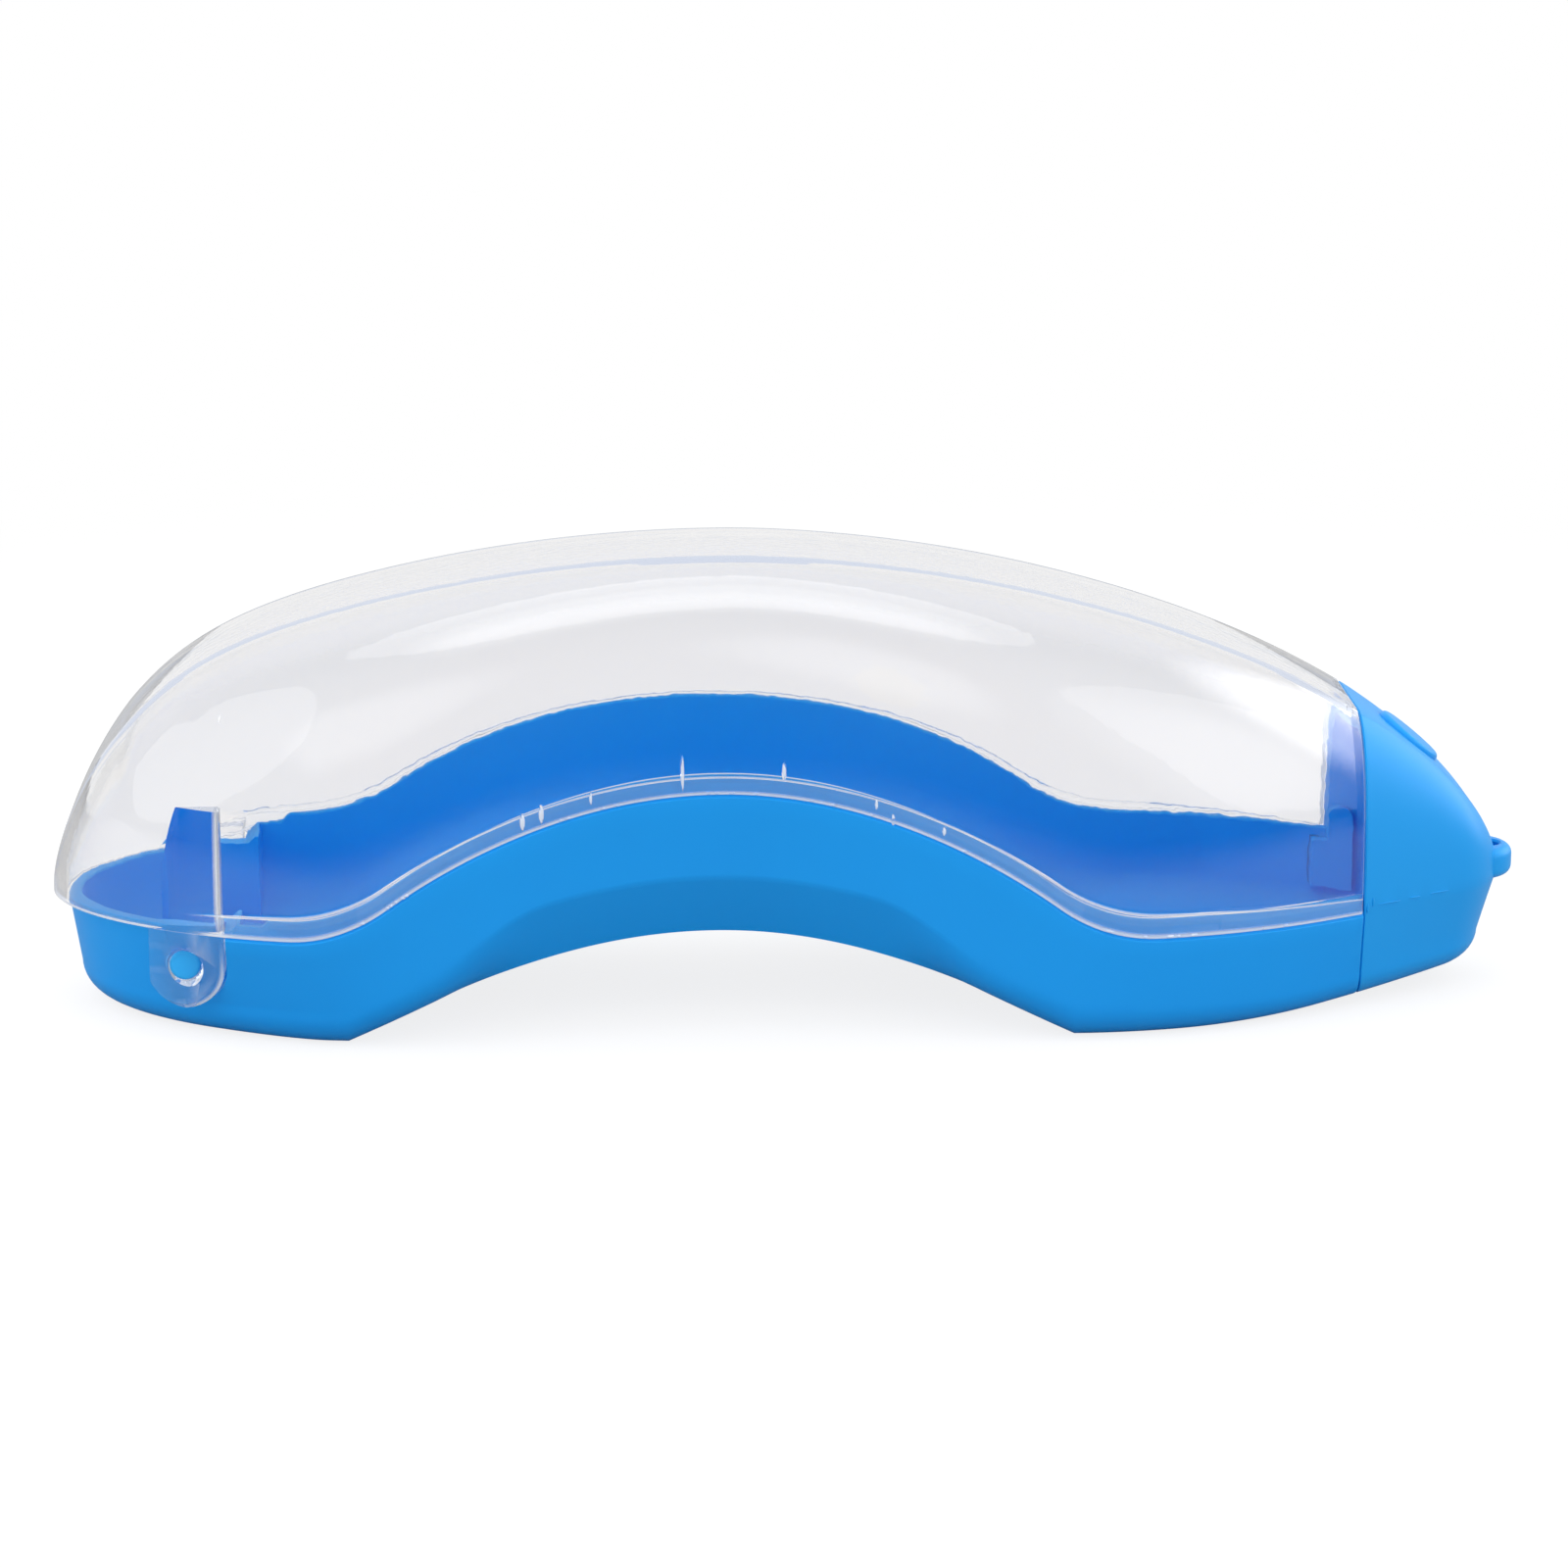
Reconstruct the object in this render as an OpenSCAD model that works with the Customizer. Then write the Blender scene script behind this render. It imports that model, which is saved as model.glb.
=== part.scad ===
// Goggle case: an arched tray with a nose cap, and a clear lid that hinges at the tray's left end.
// X runs along the case, Y across it and Z up. The origin is on the ground under its middle.

/* [Plan] */
// From the origin to the lid's hooded end
hood_reach = 101; // [97:0.5:106]
// From the origin to the tip of the nose, without its eye
nose_reach = 98.7; // [95:0.1:102]
// From the origin to the seam between lid and nose
seam_x = 77.5; // [76:0.5:79]
// Fullness of the hood's rounded end
hood_round = 1.5; // [1.4:0.05:1.7]
// Half width over the lens bays
bay_half = 29.1; // [28:0.1:31]
// Half width at the seam
seam_half = 18.2; // [17:0.1:19]
// How far each side is drawn in at the waist
waist_in = 6.1; // [3:0.1:8]
// Where the waist is narrowest
waist_x = -8; // [-12:0.5:-4]
// From there to the left bay at full width
waist_run = 55; // [50:1:58]
// Angle of the sides at the nose
taper = 28; // [26:0.5:30]
// Radius that turns the right bay into those sides
taper_r = 72; // [60:1:80]

/* [Side view] */
// Top of the lid above the ground
lid_top = 62.9; // [60:0.1:68]
// Where the lid is highest
top_x = -8.5; // [-12:0.5:-5]
// Radius of the lid's back, from its top towards the hood
back_r = 207; // [190:1:230]
// Where the hood's end rounding starts
hood_start = -40.5; // [-45:0.5:-35]
// Fullness of the hood's rounding along the case
hood_run = 6.6; // [5:0.1:8]
// Fullness of the hood's rounding upwards
hood_rise = 1.39; // [1.2:0.01:1.6]
// Fullness of the lid's fall to the nose
fall = 1.77; // [1.6:0.01:2]
// Centre of the tray's arch
arch_x = -10.5; // [-14:0.5:-7]
// Rim height at the top of the arch
rim_top = 35.8; // [34:0.1:38]
// Rim height in the left bay
left_rim = 17.8; // [17:0.1:19]
// Rim height in the right bay
right_rim = 16.6; // [16:0.1:18]
// Radius of the rim's arch
rim_r = 77; // [72:1:84]
// Radius between the rim's arch and the bays
rim_blend = 23; // [18:1:28]
// Height of the parting line round the nose
part_z = 15.3; // [14.8:0.1:15.8]

/* [Belly] */
// Centre of the belly's arch
belly_x = -11.3; // [-14:0.1:-9]
// Height of the belly's arch
belly_top = 13.3; // [11:0.1:14]
// Radius of the belly's arch
belly_r = 91; // [85:1:110]
// Half the distance between the feet
foot_half = 48.7; // [47:0.1:51]
// Length of the left foot's flat
left_flat = 3; // [2:0.5:6]
// Length of the right foot's flat
right_flat = 12.5; // [8:0.5:16]
// Radius of the belly outside the left foot
left_belly_r = 560; // [300:10:900]
// Radius of the belly outside the right foot
right_belly_r = 300; // [250:1:400]
// Radius between belly and walls
belly_edge = 4.9; // [4:0.1:6]
// The same radius at the hinge end
belly_edge_left = 4.4; // [3:0.1:5]
// The same radius at the nose
belly_edge_nose = 3.6; // [2:0.1:4]
// Draft of the walls, given as how far their foot is set in under the rim
foot_in = 0.1; // [0:0.1:0.6]
// The same at the hinge end, where the hood passes round the tray
foot_in_left = 3.5; // [3:0.1:4]
// The same at the nose
foot_in_nose = 2.3; // [1:0.1:2.5]
// From the hinge axis to where the walls' foot is out at full width
foot_run = 38; // [30:1:45]

/* [Walls] */
// Wall of the tray
tray_wall = 2.5; // [2.2:0.1:3]
// Wall of the tray at the hinge end
end_wall = 2; // [1.6:0.1:2.4]
// Thickness of the floor
floor_t = 2.2; // [1.8:0.1:3]
// Depth of the upright inner wall under the rim
inner_drop = 8.5; // [7:0.1:9]
// The same depth at the hinge end
inner_drop_left = 1.5; // [1:0.1:3]
// Radius between that wall and the floor
inner_edge = 8; // [6:0.1:9]
// Solid length behind the nose's tip
nose_solid = 6; // [5:0.1:8]
// Wall of the lid
lid_wall = 1.6; // [1.4:0.1:2]
// Wall of the lid's skirt
skirt_wall = 1; // [0.8:0.05:1.1]
// How far the skirt hangs below the rim
skirt = 2.4; // [2:0.1:3]
// Fullness of the lid's cross-section
crown = 3; // [2.6:0.1:3.4]
// Half width of the flat strip along the lid's top
strip_half = 9; // [6:0.5:10]

/* [Hinge] */
// From the hood's end in to the hinge axis
hinge_in = 19.3; // [18:0.1:20]
// Height of the hinge axis
hinge_z = 10.4; // [10:0.1:11]
// Radius of the ears
ear_r = 5.45; // [5:0.05:6]
// Depth of the ears, from the hood's side at the hinge in to their inner face
ear_t = 3.05; // [2.6:0.05:3.2]
// How far the ears' outer face stands out of the hood's side at the hinge
ear_proud = 0.45; // [0.2:0.05:0.8]
// How much wider than the pin the ears' holes are at their flared mouth
ear_mouth = 0.7; // [0.4:0.05:0.9]
// Depth of that mouth
mouth_t = 2; // [1:0.1:2.2]
// Height up to which the lid is flat inside above its ears
flat_top = 32; // [26:0.5:33]
// Radius of the hinge pins
pin_r = 2.1; // [1.8:0.05:2.4]
// How far a pin reaches out of the tray
pin_out = 1.7; // [1.2:0.1:2]
// How far a pin is pressed into the tray
pin_in = 1.8; // [1.4:0.1:2]
// Thickness of the tray behind the ears
pad_t = 2.6; // [2.5:0.1:3.2]
// Height of each of the two steps that lower the rim at the hinge
rim_step = 1; // [0.8:0.05:1.1]
// From the hinge axis to where the upper step starts
step_out = 11.7; // [11:0.1:12.5]
// From the upper step to the lower one
step_run = 4.4; // [4:0.1:4.8]

/* [Snaps and eye] */
// Thickness of a fin
fin_t = 1.4; // [1.2:0.1:1.6]
// How far a fin's tab reaches past the seam
fin_run = 2.2; // [2:0.1:3]
// Length of a fin's foot on the nose
fin_root = 3; // [2:0.1:4]
// Height of a fin's lower edge
fin_low = 8.5; // [8:0.1:9]
// Height of a fin's upper edge
fin_high = 20.5; // [19:0.1:21]
// How far a snap hook reaches into the tray's wall
hook = 0.9; // [0.6:0.1:1.1]
// Length of a snap hook along the case
hook_run = 1.1; // [0.8:0.1:1.2]
// Height of a snap hook's upper end
hook_high = 15.2; // [14:0.1:15.5]
// Where the eye's hole is along the case
eye_x = 97.7; // [97:0.1:98]
// Radius of the eye's hole
eye_r = 1.6; // [1.2:0.1:1.8]
// Wall outside the eye's hole
eye_wall = 1.7; // [1.4:0.1:2.2]
// Half the width of the eye
eye_half = 5.2; // [4.6:0.1:6]
// Height of the eye's underside
eye_low = 14.8; // [14:0.1:15]
// Thickness of the eye
eye_t = 4.2; // [3.5:0.1:4.6]
// Where the thumb pad is along the case
thumb_x = 86; // [84:0.1:88]
// Radius of the thumb pad on the nose
thumb_r = 5; // [4:0.1:6]
// How far the thumb pad stands up
thumb_up = 0.7; // [0.4:0.1:1]

/* [Clearances] */
// Between lid and tray where they pass
gap = 0.3; // [0.25:0.05:0.4]
// Between the tray's end and the lid's hood round it
hood_gap = 0.4; // [0.35:0.05:0.5]
// Between a pin and its ear
pin_gap = 0.06; // [0.02:0.01:0.09]
// Round a snap hook in its recess
hook_gap = 0.1; // [0.05:0.01:0.2]

/* [Hidden] */
$fn = 64;
tray_blue = "#2a92e4";
lid_clear = [0.86, 0.9, 0.95, 0.35];

// Plan outline: where its parts meet
left_x = waist_x - waist_run;
hood_len = hood_reach + left_x;
taper_end = seam_x - (bay_half - seam_half) / tan(taper) + taper_r * tan(taper / 2) * cos(taper);
taper_start = taper_end - taper_r * sin(taper);
waist_run_right = taper_start - waist_x;
nose_r = (cos(taper) * seam_half - sin(taper) * (nose_reach - seam_x)) / (1 - sin(taper));
nose_c = nose_reach - nose_r;
nose_turn = nose_c + nose_r * sin(taper);

// Side outline: what the driving sizes give
rabbet = skirt_wall + gap;
ledge = skirt + gap;
hood_in = lid_wall + hood_gap;
lid_edge = left_rim - skirt;
hinge_x = hinge_in - hood_reach;
hinge_half = bay_half * sqrt(1 - ((left_x - hinge_x) / hood_len) ^ hood_round);
ear_in = hinge_half - ear_t;
ear_out = hinge_half + ear_proud;
pocket_r = ear_r + gap;
pocket_in = ear_in - gap;
pad_in = pocket_in - pad_t;
step_x = hinge_x + step_out;
left_foot = belly_x - foot_half;
right_foot = belly_x + foot_half;
// The lid's fall ends just past the nose's tip and just under its parting line
fall_past = 0.16;
fall_under = 0.3;
fall_end = nose_reach + fall_past;
fall_base = part_z - fall_under;
// Least height of the hood's end and of the nose's tip above the edge below them
hood_nub = 0.8;
tip_nub = 0.4;
// Least step between two rings, how far a cut runs past what it cuts, and a length beyond the case
least = 0.1;
past = 1;
far = 40;

// Steps round the nose, round the edges and up the dome
nose_n = 14;
edge_n = 5;
crown_n = 8;

function clamp(t) = min(1, max(0, t));
function ease(x, a, b) = let(t = clamp((x - a) / (b - a))) t * t * (3 - 2 * t);
function blend(x, left, mid, right) =
    x < left_x ? mid + (left - mid) * clamp((left_x - x) / hood_len) :
    mid + (right - mid) * clamp((x - taper_start) / (nose_reach - taper_start));

// Half width of the case at x, to the right of the hood's rounded end
function half_at(x) =
    x < taper_start ?
        let(run = x < waist_x ? waist_run : waist_run_right)
        bay_half - waist_in * (1 + cos(180 * (x - waist_x) / run)) / 2 :
    x < taper_end ? bay_half - taper_r + sqrt(taper_r ^ 2 - (x - taper_start) ^ 2) :
    seam_half - tan(taper) * (x - seam_x);
function slant(x) = 1 / cos(x < taper_start ? 0 : x < taper_end ? asin((x - taper_start) / taper_r) : taper);

// Station u of the outline from hood to seam, set in by d: the hood's end up to u = 1, then the sides
function body_pt(u, d) =
    u <= 1 ? let(t = 1 - u ^ 2) [left_x - (hood_len - d) * t, (bay_half - d) * sqrt(1 - t ^ hood_round)] :
    let(x = left_x + (seam_x - left_x) * (u - 1)) [x, half_at(x) - d * slant(x)];
// Station u of the outline from nose tip to seam, set in by d: the tip's arc up to u = 0.6, then the sides
tip_share = 0.6;
function nose_pt(u, d, x_end = seam_x) =
    u < tip_share ?
        let(a = (90 - taper) * u / tip_share) [nose_c + (nose_r - d) * cos(a), (nose_r - d) * sin(a)] :
    let(w = (1 - u) / (1 - tip_share), x = x_end + (nose_turn - x_end) * w - d * sin(taper) * w)
    [x, seam_half - tan(taper) * (x - seam_x) - d / cos(taper)];
nose_u = [for (i = [0 : nose_n]) i / nose_n];
// The body's stretches: hood's end, left foot, arch, right foot and on to the seam, with the steps in each
function u_at(x) = x < left_x ? sqrt(1 - (left_x - x) / hood_len) : 1 + (x - left_x) / (seam_x - left_x);
marks = [0, u_at(left_foot - left_flat), u_at(left_foot), u_at(right_foot), u_at(right_foot + right_flat), 2];
steps = [10, 1, 24, 3, 7];
function stations(x_end) = concat([for (m = [0 : len(steps) - 1]) for (i = [0 : steps[m] - 1])
    marks[m] + (marks[m + 1] - marks[m]) * i / steps[m]], [u_at(x_end)]);
// The lid ends just short of the seam, and the tray and the hollows run past it
lid_u = stations(seam_x - gap);
long_u = stations(seam_x + past);

// Rim, belly and lid heights at x
function rim_z(x) =
    let(bay = x < arch_x ? left_rim : right_rim, dx = abs(x - arch_x))
    let(run = sqrt((rim_r + rim_blend) ^ 2 - (bay + rim_blend - rim_top + rim_r) ^ 2))
    dx < run * rim_r / (rim_r + rim_blend) ? rim_top - rim_r + sqrt(rim_r ^ 2 - dx ^ 2) :
    dx < run ? bay + rim_blend - sqrt(rim_blend ^ 2 - (run - dx) ^ 2) : bay;
// The incline from each foot meets the belly's arch as a tangent
function incline(a) = belly_top - belly_r + belly_r / cos(a) - foot_half * tan(a);
function incline_angle(lo, hi, n) =
    let(mid = (lo + hi) / 2) n == 0 ? mid : incline(mid) > 0 ? incline_angle(mid, hi, n - 1) :
    incline_angle(lo, mid, n - 1);
belly_slope = incline_angle(5, 40, 30);
function belly_z(x) =
    let(dx = abs(x - belly_x), flat = x < belly_x ? left_flat : right_flat)
    dx < belly_r * sin(belly_slope) ? belly_top - belly_r + sqrt(belly_r ^ 2 - dx ^ 2) :
    dx < foot_half ? (foot_half - dx) * tan(belly_slope) :
    dx < foot_half + flat ? 0 :
    let(r = x < belly_x ? left_belly_r : right_belly_r) r - sqrt(r ^ 2 - (dx - foot_half - flat) ^ 2);
function back_z(x) = lid_top - back_r + sqrt(back_r ^ 2 - (x - top_x) ^ 2);
function lid_z(x) =
    x > top_x ?
        let(t = (x - top_x) / (fall_end - top_x))
        fall_base + (lid_top - fall_base) * (1 - t ^ fall) ^ (1 / fall) :
    let(base = lid_edge + hood_nub, t = clamp((hood_start - x) / (hood_start + hood_reach)))
    base + (back_z(x) - base) * (1 - t ^ hood_run) ^ (1 / hood_rise);

// Closed body through rings of stations. Station 0 lies on the centre plane, the last one on a flat end.
// Each ring is mirrored in the centre plane, and the first and last rings are closed across it.
module shell(rings, mirrored = false) {
    n = len(rings[0]) - 1;
    k_n = len(rings) - 1;
    row = 2 * n + 1;
    pts = [for (r = rings) for (j = [-n : n]) let(p = r[abs(j)]) [p.x, j < 0 ? -p.y : j == 0 ? 0 : p.y, p.z]];
    sides = [for (k = [0 : k_n - 1]) for (j = [0 : row - 2]) let(a = k * row + j, b = a + row)
        each [[a, b, a + 1], [a + 1, b, b + 1]]];
    low = [for (j = [1 : n]) let(a = n - j, b = n + j)
        each (j == 1 ? [[a, n, b]] : [[a, a + 1, b], [b, a + 1, b - 1]])];
    top = [for (f = low) [f[2], f[1], f[0]] + k_n * row * [1, 1, 1]];
    cap = [concat([for (k = [k_n : -1 : 0]) k * row], [for (k = [0 : k_n]) k * row + row - 1])];
    faces = concat(sides, low, top, cap);
    polyhedron(pts, mirrored ? faces : [for (f = faces) [for (i = [len(f) - 1 : -1 : 0]) f[i]]]);
}

// Both sides, front and rear
module both() {
    children();
    mirror([0, 1, 0]) children();
}

// Prism over an outline in the side view, between y = from and y = to
module side_prism(from, to) {
    translate([0, to, 0]) rotate([90, 0, 0]) linear_extrude(to - from) children();
}

// Tray: the hood passes round its end, so it is set in more there
function end_share(x) = 1 - ease(x, hinge_x, hinge_x + pocket_r);
function tray_in(x) = hood_in * end_share(x);
function rim_in(x) = max(tray_in(x) + least, rabbet);
function edge_at(x) = blend(x, belly_edge_left, belly_edge, belly_edge_nose);
function foot_in_at(x) = foot_in + (foot_in_left - foot_in) * (1 - ease(x, hinge_x, hinge_x + foot_run))
    + (foot_in_nose - foot_in) * clamp((x - taper_start) / (nose_reach - taper_start));
function wall_at(x) = tray_wall + (end_wall + hood_in - tray_wall) * end_share(x);
function tray_at(u, d, kind, a) =
    let(p = body_pt(u, d), x = p.x)
    [x, p.y, kind == "edge" ? belly_z(x) + edge_at(x) * (1 - cos(a)) : rim_z(x) - a];
function base_x(u) = body_pt(u, 0).x;
outer_rings = concat(
    [for (i = [0 : edge_n]) let(a = 90 * i / edge_n) [for (u = long_u) let(x = base_x(u))
        tray_at(u, foot_in_at(x) + edge_at(x) * (1 - sin(a)), "edge", a)]],
    [[for (u = long_u) tray_at(u, tray_in(base_x(u)), "rim", ledge)]],
    [[for (u = long_u) tray_at(u, rim_in(base_x(u)), "rim", ledge)]],
    [[for (u = long_u) tray_at(u, rim_in(base_x(u)), "rim", 0)]]);
// Inside, an upright wall under the rim turns into the floor
function inner_at(p, a) =
    let(low = belly_z(p.x) + floor_t, high = rim_z(p.x) - blend(p.x, inner_drop_left, inner_drop, inner_drop))
    [p.x, p.y, low + (high - low) * (1 - cos(a))];
function lift(ring, up) = [for (p = ring) [p.x, p.y, rim_z(p.x) + up]];
inner_wall = [for (u = long_u) let(p = body_pt(u, wall_at(base_x(u)))) [p.x, p.y, 0]];
inner_rings = concat(
    [for (i = [0 : edge_n]) let(a = 90 * i / edge_n) [for (u = long_u)
        inner_at(body_pt(u, wall_at(base_x(u)) + inner_edge * (1 - sin(a))), a)]],
    [lift(inner_wall, past)]);

module base_tray() {
    color(tray_blue) difference() {
        shell(outer_rings);
        difference() {
            shell(inner_rings);
            // Flat pads that back the hinge pockets
            both() translate([hinge_x - pocket_r - end_wall, pad_in, 0])
                cube([2 * pocket_r + 2 * end_wall, far, far]);
        }
        both() {
            // Pocket for the ear, open to the rim
            side_prism(pocket_in, far) {
                translate([hinge_x, hinge_z]) circle(pocket_r);
                translate([hinge_x - pocket_r, hinge_z]) square([2 * pocket_r, far]);
            }
            translate([hinge_x, pocket_in + past, hinge_z]) rotate([90, 0, 0])
                cylinder(h = pin_in + past, r = pin_r);
            hook_recess();
        }
        // The rim steps down twice towards the hinge
        side_prism(-far, far) polygon([
            [step_x, far], [step_x, left_rim], [step_x - rim_step, left_rim - rim_step],
            [step_x - step_run, left_rim - rim_step], [step_x - step_run - rim_step, left_rim - 2 * rim_step],
            [-hood_reach - past, left_rim - 2 * rim_step], [-hood_reach - past, far]]);
        // Square end at the seam
        translate([seam_x, -far, -far]) cube(2 * far);
    }
}

// Strip along the case between two insets of its outline, as an outline in plan
module strip(x0, x1, d0, d1) {
    polygon(concat(
        [for (x = [x0, x1]) [x, half_at(x) - d0 * slant(x)]],
        [for (x = [x1, x0]) [x, half_at(x) - d1 * slant(x)]]));
}
fin_out = tray_wall + gap / 2;
hook_end = seam_x - fin_run;
// Recess in the tray's wall for a snap hook
module hook_recess() {
    depth = fin_out - hook - hook_gap;
    translate([0, 0, fin_low - hook_gap]) linear_extrude(hook_high - fin_low + 2 * hook_gap)
        strip(hook_end - hook_gap, hook_end + hook_run + hook_gap, depth, tray_wall + past);
}
// Rib inside the nose at the seam, with a tab past the seam whose hook snaps into the tray's wall
module fin() {
    fin_end = seam_x + fin_root;
    intersection() {
        union() {
            linear_extrude(far) strip(hook_end, fin_end, fin_out, fin_out + fin_t);
            linear_extrude(far) strip(seam_x, fin_end, fin_t, fin_out + fin_t);
        }
        side_prism(0, far) polygon([
            [hook_end, fin_low], [hook_end, hook_high], [seam_x, hook_high],
            [seam_x, fin_high], [fin_end, fin_high], [fin_end, fin_low]]);
    }
    translate([0, 0, fin_low]) linear_extrude(hook_high - fin_low)
        strip(hook_end, hook_end + hook_run, fin_out - hook, fin_out);
}

// Dome over a half width w: a full arch with a flat strip along its top, k = 0 at its foot and 1 at the strip
function strip_at(w) = min(strip_half, w / 2);
function dome_pt(p, k, base, top) =
    let(e = acos((strip_at(p.y) / p.y) ^ (crown / 2)), a = e * k)
    [p.x, p.y * cos(a) ^ (2 / crown), base + (top - base) * (sin(a) / sin(e)) ^ (2 / crown)];
// On the centre plane the outline has no width, so the dome stands upright there
function dome_at(p, k, base, top) =
    let(high = max(base + tip_nub, top))
    p.y < least ? [p.x, 0, base + (high - base) * k] : dome_pt(p, k, base, high);
// Slope of the top at x, and how far a wall t takes the top down there
function slope_at(x) = (lid_z(x - least) - lid_z(x + least)) / (2 * least);
function drop_at(x, t) = t * sqrt(1 + slope_at(x) ^ 2);

// Nose: the tray's walls below its parting line, the lid's dome above it
function nose_low(u, a) =
    let(x = nose_pt(u, 0).x, f = edge_at(x), p = nose_pt(u, foot_in_at(x) + f * (1 - sin(a))))
    [p.x, p.y, belly_z(p.x) + f * (1 - cos(a))];
nose_outer = concat(
    [for (i = [0 : edge_n]) [for (u = nose_u) nose_low(u, 90 * i / edge_n)]],
    [for (k = [0 : crown_n]) [for (u = nose_u) let(p = nose_pt(u, 0))
        dome_at(p, k / crown_n, part_z, lid_z(p.x))]]);
function nose_wall(u) = tray_wall + (nose_solid - tray_wall) * (1 - u);
function nose_edge(u) =
    belly_edge_nose + (inner_edge - belly_edge_nose) * clamp((u - tip_share) / (1 - tip_share));
nose_inner = concat(
    [for (i = [0 : edge_n]) let(a = 90 * i / edge_n) [for (u = nose_u)
        inner_at(nose_pt(u, nose_wall(u) + nose_edge(u) * (1 - sin(a)), seam_x - past), a)]],
    [for (k = [0 : crown_n]) [for (u = nose_u) let(p = nose_pt(u, nose_wall(u), seam_x - past))
        dome_at(p, k / crown_n, part_z, lid_z(p.x) - drop_at(p.x, tray_wall))]]);
// Eye at the nose's tip, rooted in the solid behind it
eye_top = eye_low + eye_t;
eye_tip = eye_x + eye_r + eye_wall;
module eye_plate() {
    translate([0, 0, eye_low]) linear_extrude(eye_t) intersection() {
        translate([eye_tip - eye_half, 0]) circle(eye_half);
        translate([nose_reach - nose_solid / 2, -far]) square([far, 2 * far]);
    }
}
// Hole of the eye, with a slot above and below it where the nose would close it
module eye_cut() {
    slot = eye_r + gap;
    translate([eye_x, 0, eye_low - past]) cylinder(h = eye_t + 2 * past, r = eye_r);
    translate([eye_x - slot, -slot, eye_top]) cube([far, 2 * slot, 2 * slot]);
    translate([eye_x - slot, -slot, eye_low - slot]) cube([far, 2 * slot, slot]);
}
module nose_cap() {
    color(tray_blue) {
        difference() {
            union() {
                shell(nose_outer, true);
                eye_plate();
                // Plain round pad for the thumb
                translate([thumb_x, 0, lid_z(thumb_x)]) rotate([0, atan(slope_at(thumb_x)), 0])
                    translate([0, 0, -tray_wall / 2]) cylinder(h = tray_wall / 2 + thumb_up, r = thumb_r);
            }
            shell(nose_inner, true);
            eye_cut();
        }
        both() fin();
    }
}

// Lid: its skirt laps the tray's rim to the right of the hinge
hood_side = hinge_x + ear_r;
function skirt_share(x) = ease(x, hinge_x, hood_side - gap);
function skirt_in(x) = lid_wall - least / 2 - (lid_wall - least / 2 - skirt_wall) * skirt_share(x);
function shoulder_z(x) = rim_z(x) - skirt + least + (skirt + gap - least) * skirt_share(x);
lid_outer = [for (k = [0 : crown_n]) [for (u = lid_u) let(p = body_pt(u, 0))
    dome_at(p, k / crown_n, rim_z(p.x) - skirt, lid_z(p.x))]];
lid_inner = concat(
    [for (up = [0, 1]) [for (u = long_u) let(p = body_pt(u, skirt_in(base_x(u))))
        [p.x, p.y, up == 0 ? rim_z(p.x) - skirt - past : shoulder_z(p.x)]]],
    [for (k = [0 : crown_n]) [for (u = long_u) let(p = body_pt(u, lid_wall))
        dome_at(p, k / crown_n, shoulder_z(p.x), lid_z(p.x) - drop_at(p.x, lid_wall))]]);
// Outline of the lid's edge in plan, set in by d
module edge_outline(d) {
    side = [for (u = long_u) body_pt(u, d)];
    polygon(concat(side, [for (i = [len(side) - 1 : -1 : 1]) [side[i].x, -side[i].y]]));
}
module ear() {
    intersection() {
        side_prism(ear_in, ear_out) {
            translate([hinge_x, hinge_z]) circle(ear_r);
            translate([hinge_x - ear_r, hinge_z]) square([2 * ear_r, lid_edge + lid_wall - hinge_z]);
        }
        linear_extrude(far) edge_outline(gap);
    }
}
module ear_bore() {
    translate([hinge_x, far, hinge_z]) rotate([90, 0, 0]) cylinder(h = far, r = pin_r + pin_gap);
    // Flared mouth
    translate([hinge_x, ear_out, hinge_z]) rotate([90, 0, 0])
        cylinder(h = mouth_t, r1 = pin_r + ear_mouth, r2 = pin_r);
}
module clear_lid() {
    color(lid_clear) difference() {
        union() {
            difference() {
                shell(lid_outer);
                difference() {
                    shell(lid_inner);
                    // Pads above the ears, flat on the inside
                    both() translate([hinge_x - ear_r, ear_in, 0]) cube([2 * ear_r, far, flat_top]);
                }
            }
            both() ear();
        }
        both() ear_bore();
    }
}

// Pin pressed into the tray's blind hole, with its free end in the lid's ear
module hinge_pin() {
    color(tray_blue) translate([hinge_x, pocket_in + pin_out, hinge_z]) rotate([90, 0, 0])
        cylinder(h = pin_out + pin_in, r = pin_r);
}
module hinge_pin_rear() {
    hinge_pin();
}
module hinge_pin_front() {
    mirror([0, 1, 0]) hinge_pin();
}

base_tray();
nose_cap();
clear_lid();
hinge_pin_front();
hinge_pin_rear();
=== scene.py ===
import math

import bmesh
import bpy
import numpy as np
from mathutils import Matrix, Vector


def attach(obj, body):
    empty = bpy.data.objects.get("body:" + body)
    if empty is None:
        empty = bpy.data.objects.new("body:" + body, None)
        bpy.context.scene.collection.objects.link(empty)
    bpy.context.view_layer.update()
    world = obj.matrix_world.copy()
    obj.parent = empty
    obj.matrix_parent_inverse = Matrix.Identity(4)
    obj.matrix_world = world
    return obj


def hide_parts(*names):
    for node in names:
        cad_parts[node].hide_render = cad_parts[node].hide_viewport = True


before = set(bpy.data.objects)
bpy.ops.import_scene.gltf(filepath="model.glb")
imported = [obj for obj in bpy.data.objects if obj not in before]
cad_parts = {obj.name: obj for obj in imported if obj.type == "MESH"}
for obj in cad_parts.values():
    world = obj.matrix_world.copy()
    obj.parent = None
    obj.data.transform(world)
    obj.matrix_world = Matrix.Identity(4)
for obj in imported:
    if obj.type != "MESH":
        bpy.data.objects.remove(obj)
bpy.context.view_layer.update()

# Sizes of the case in millimetres, as in the CAD model
HOOD_REACH = 101
NOSE_REACH = 98.7
SEAM_X = 77.5
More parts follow.
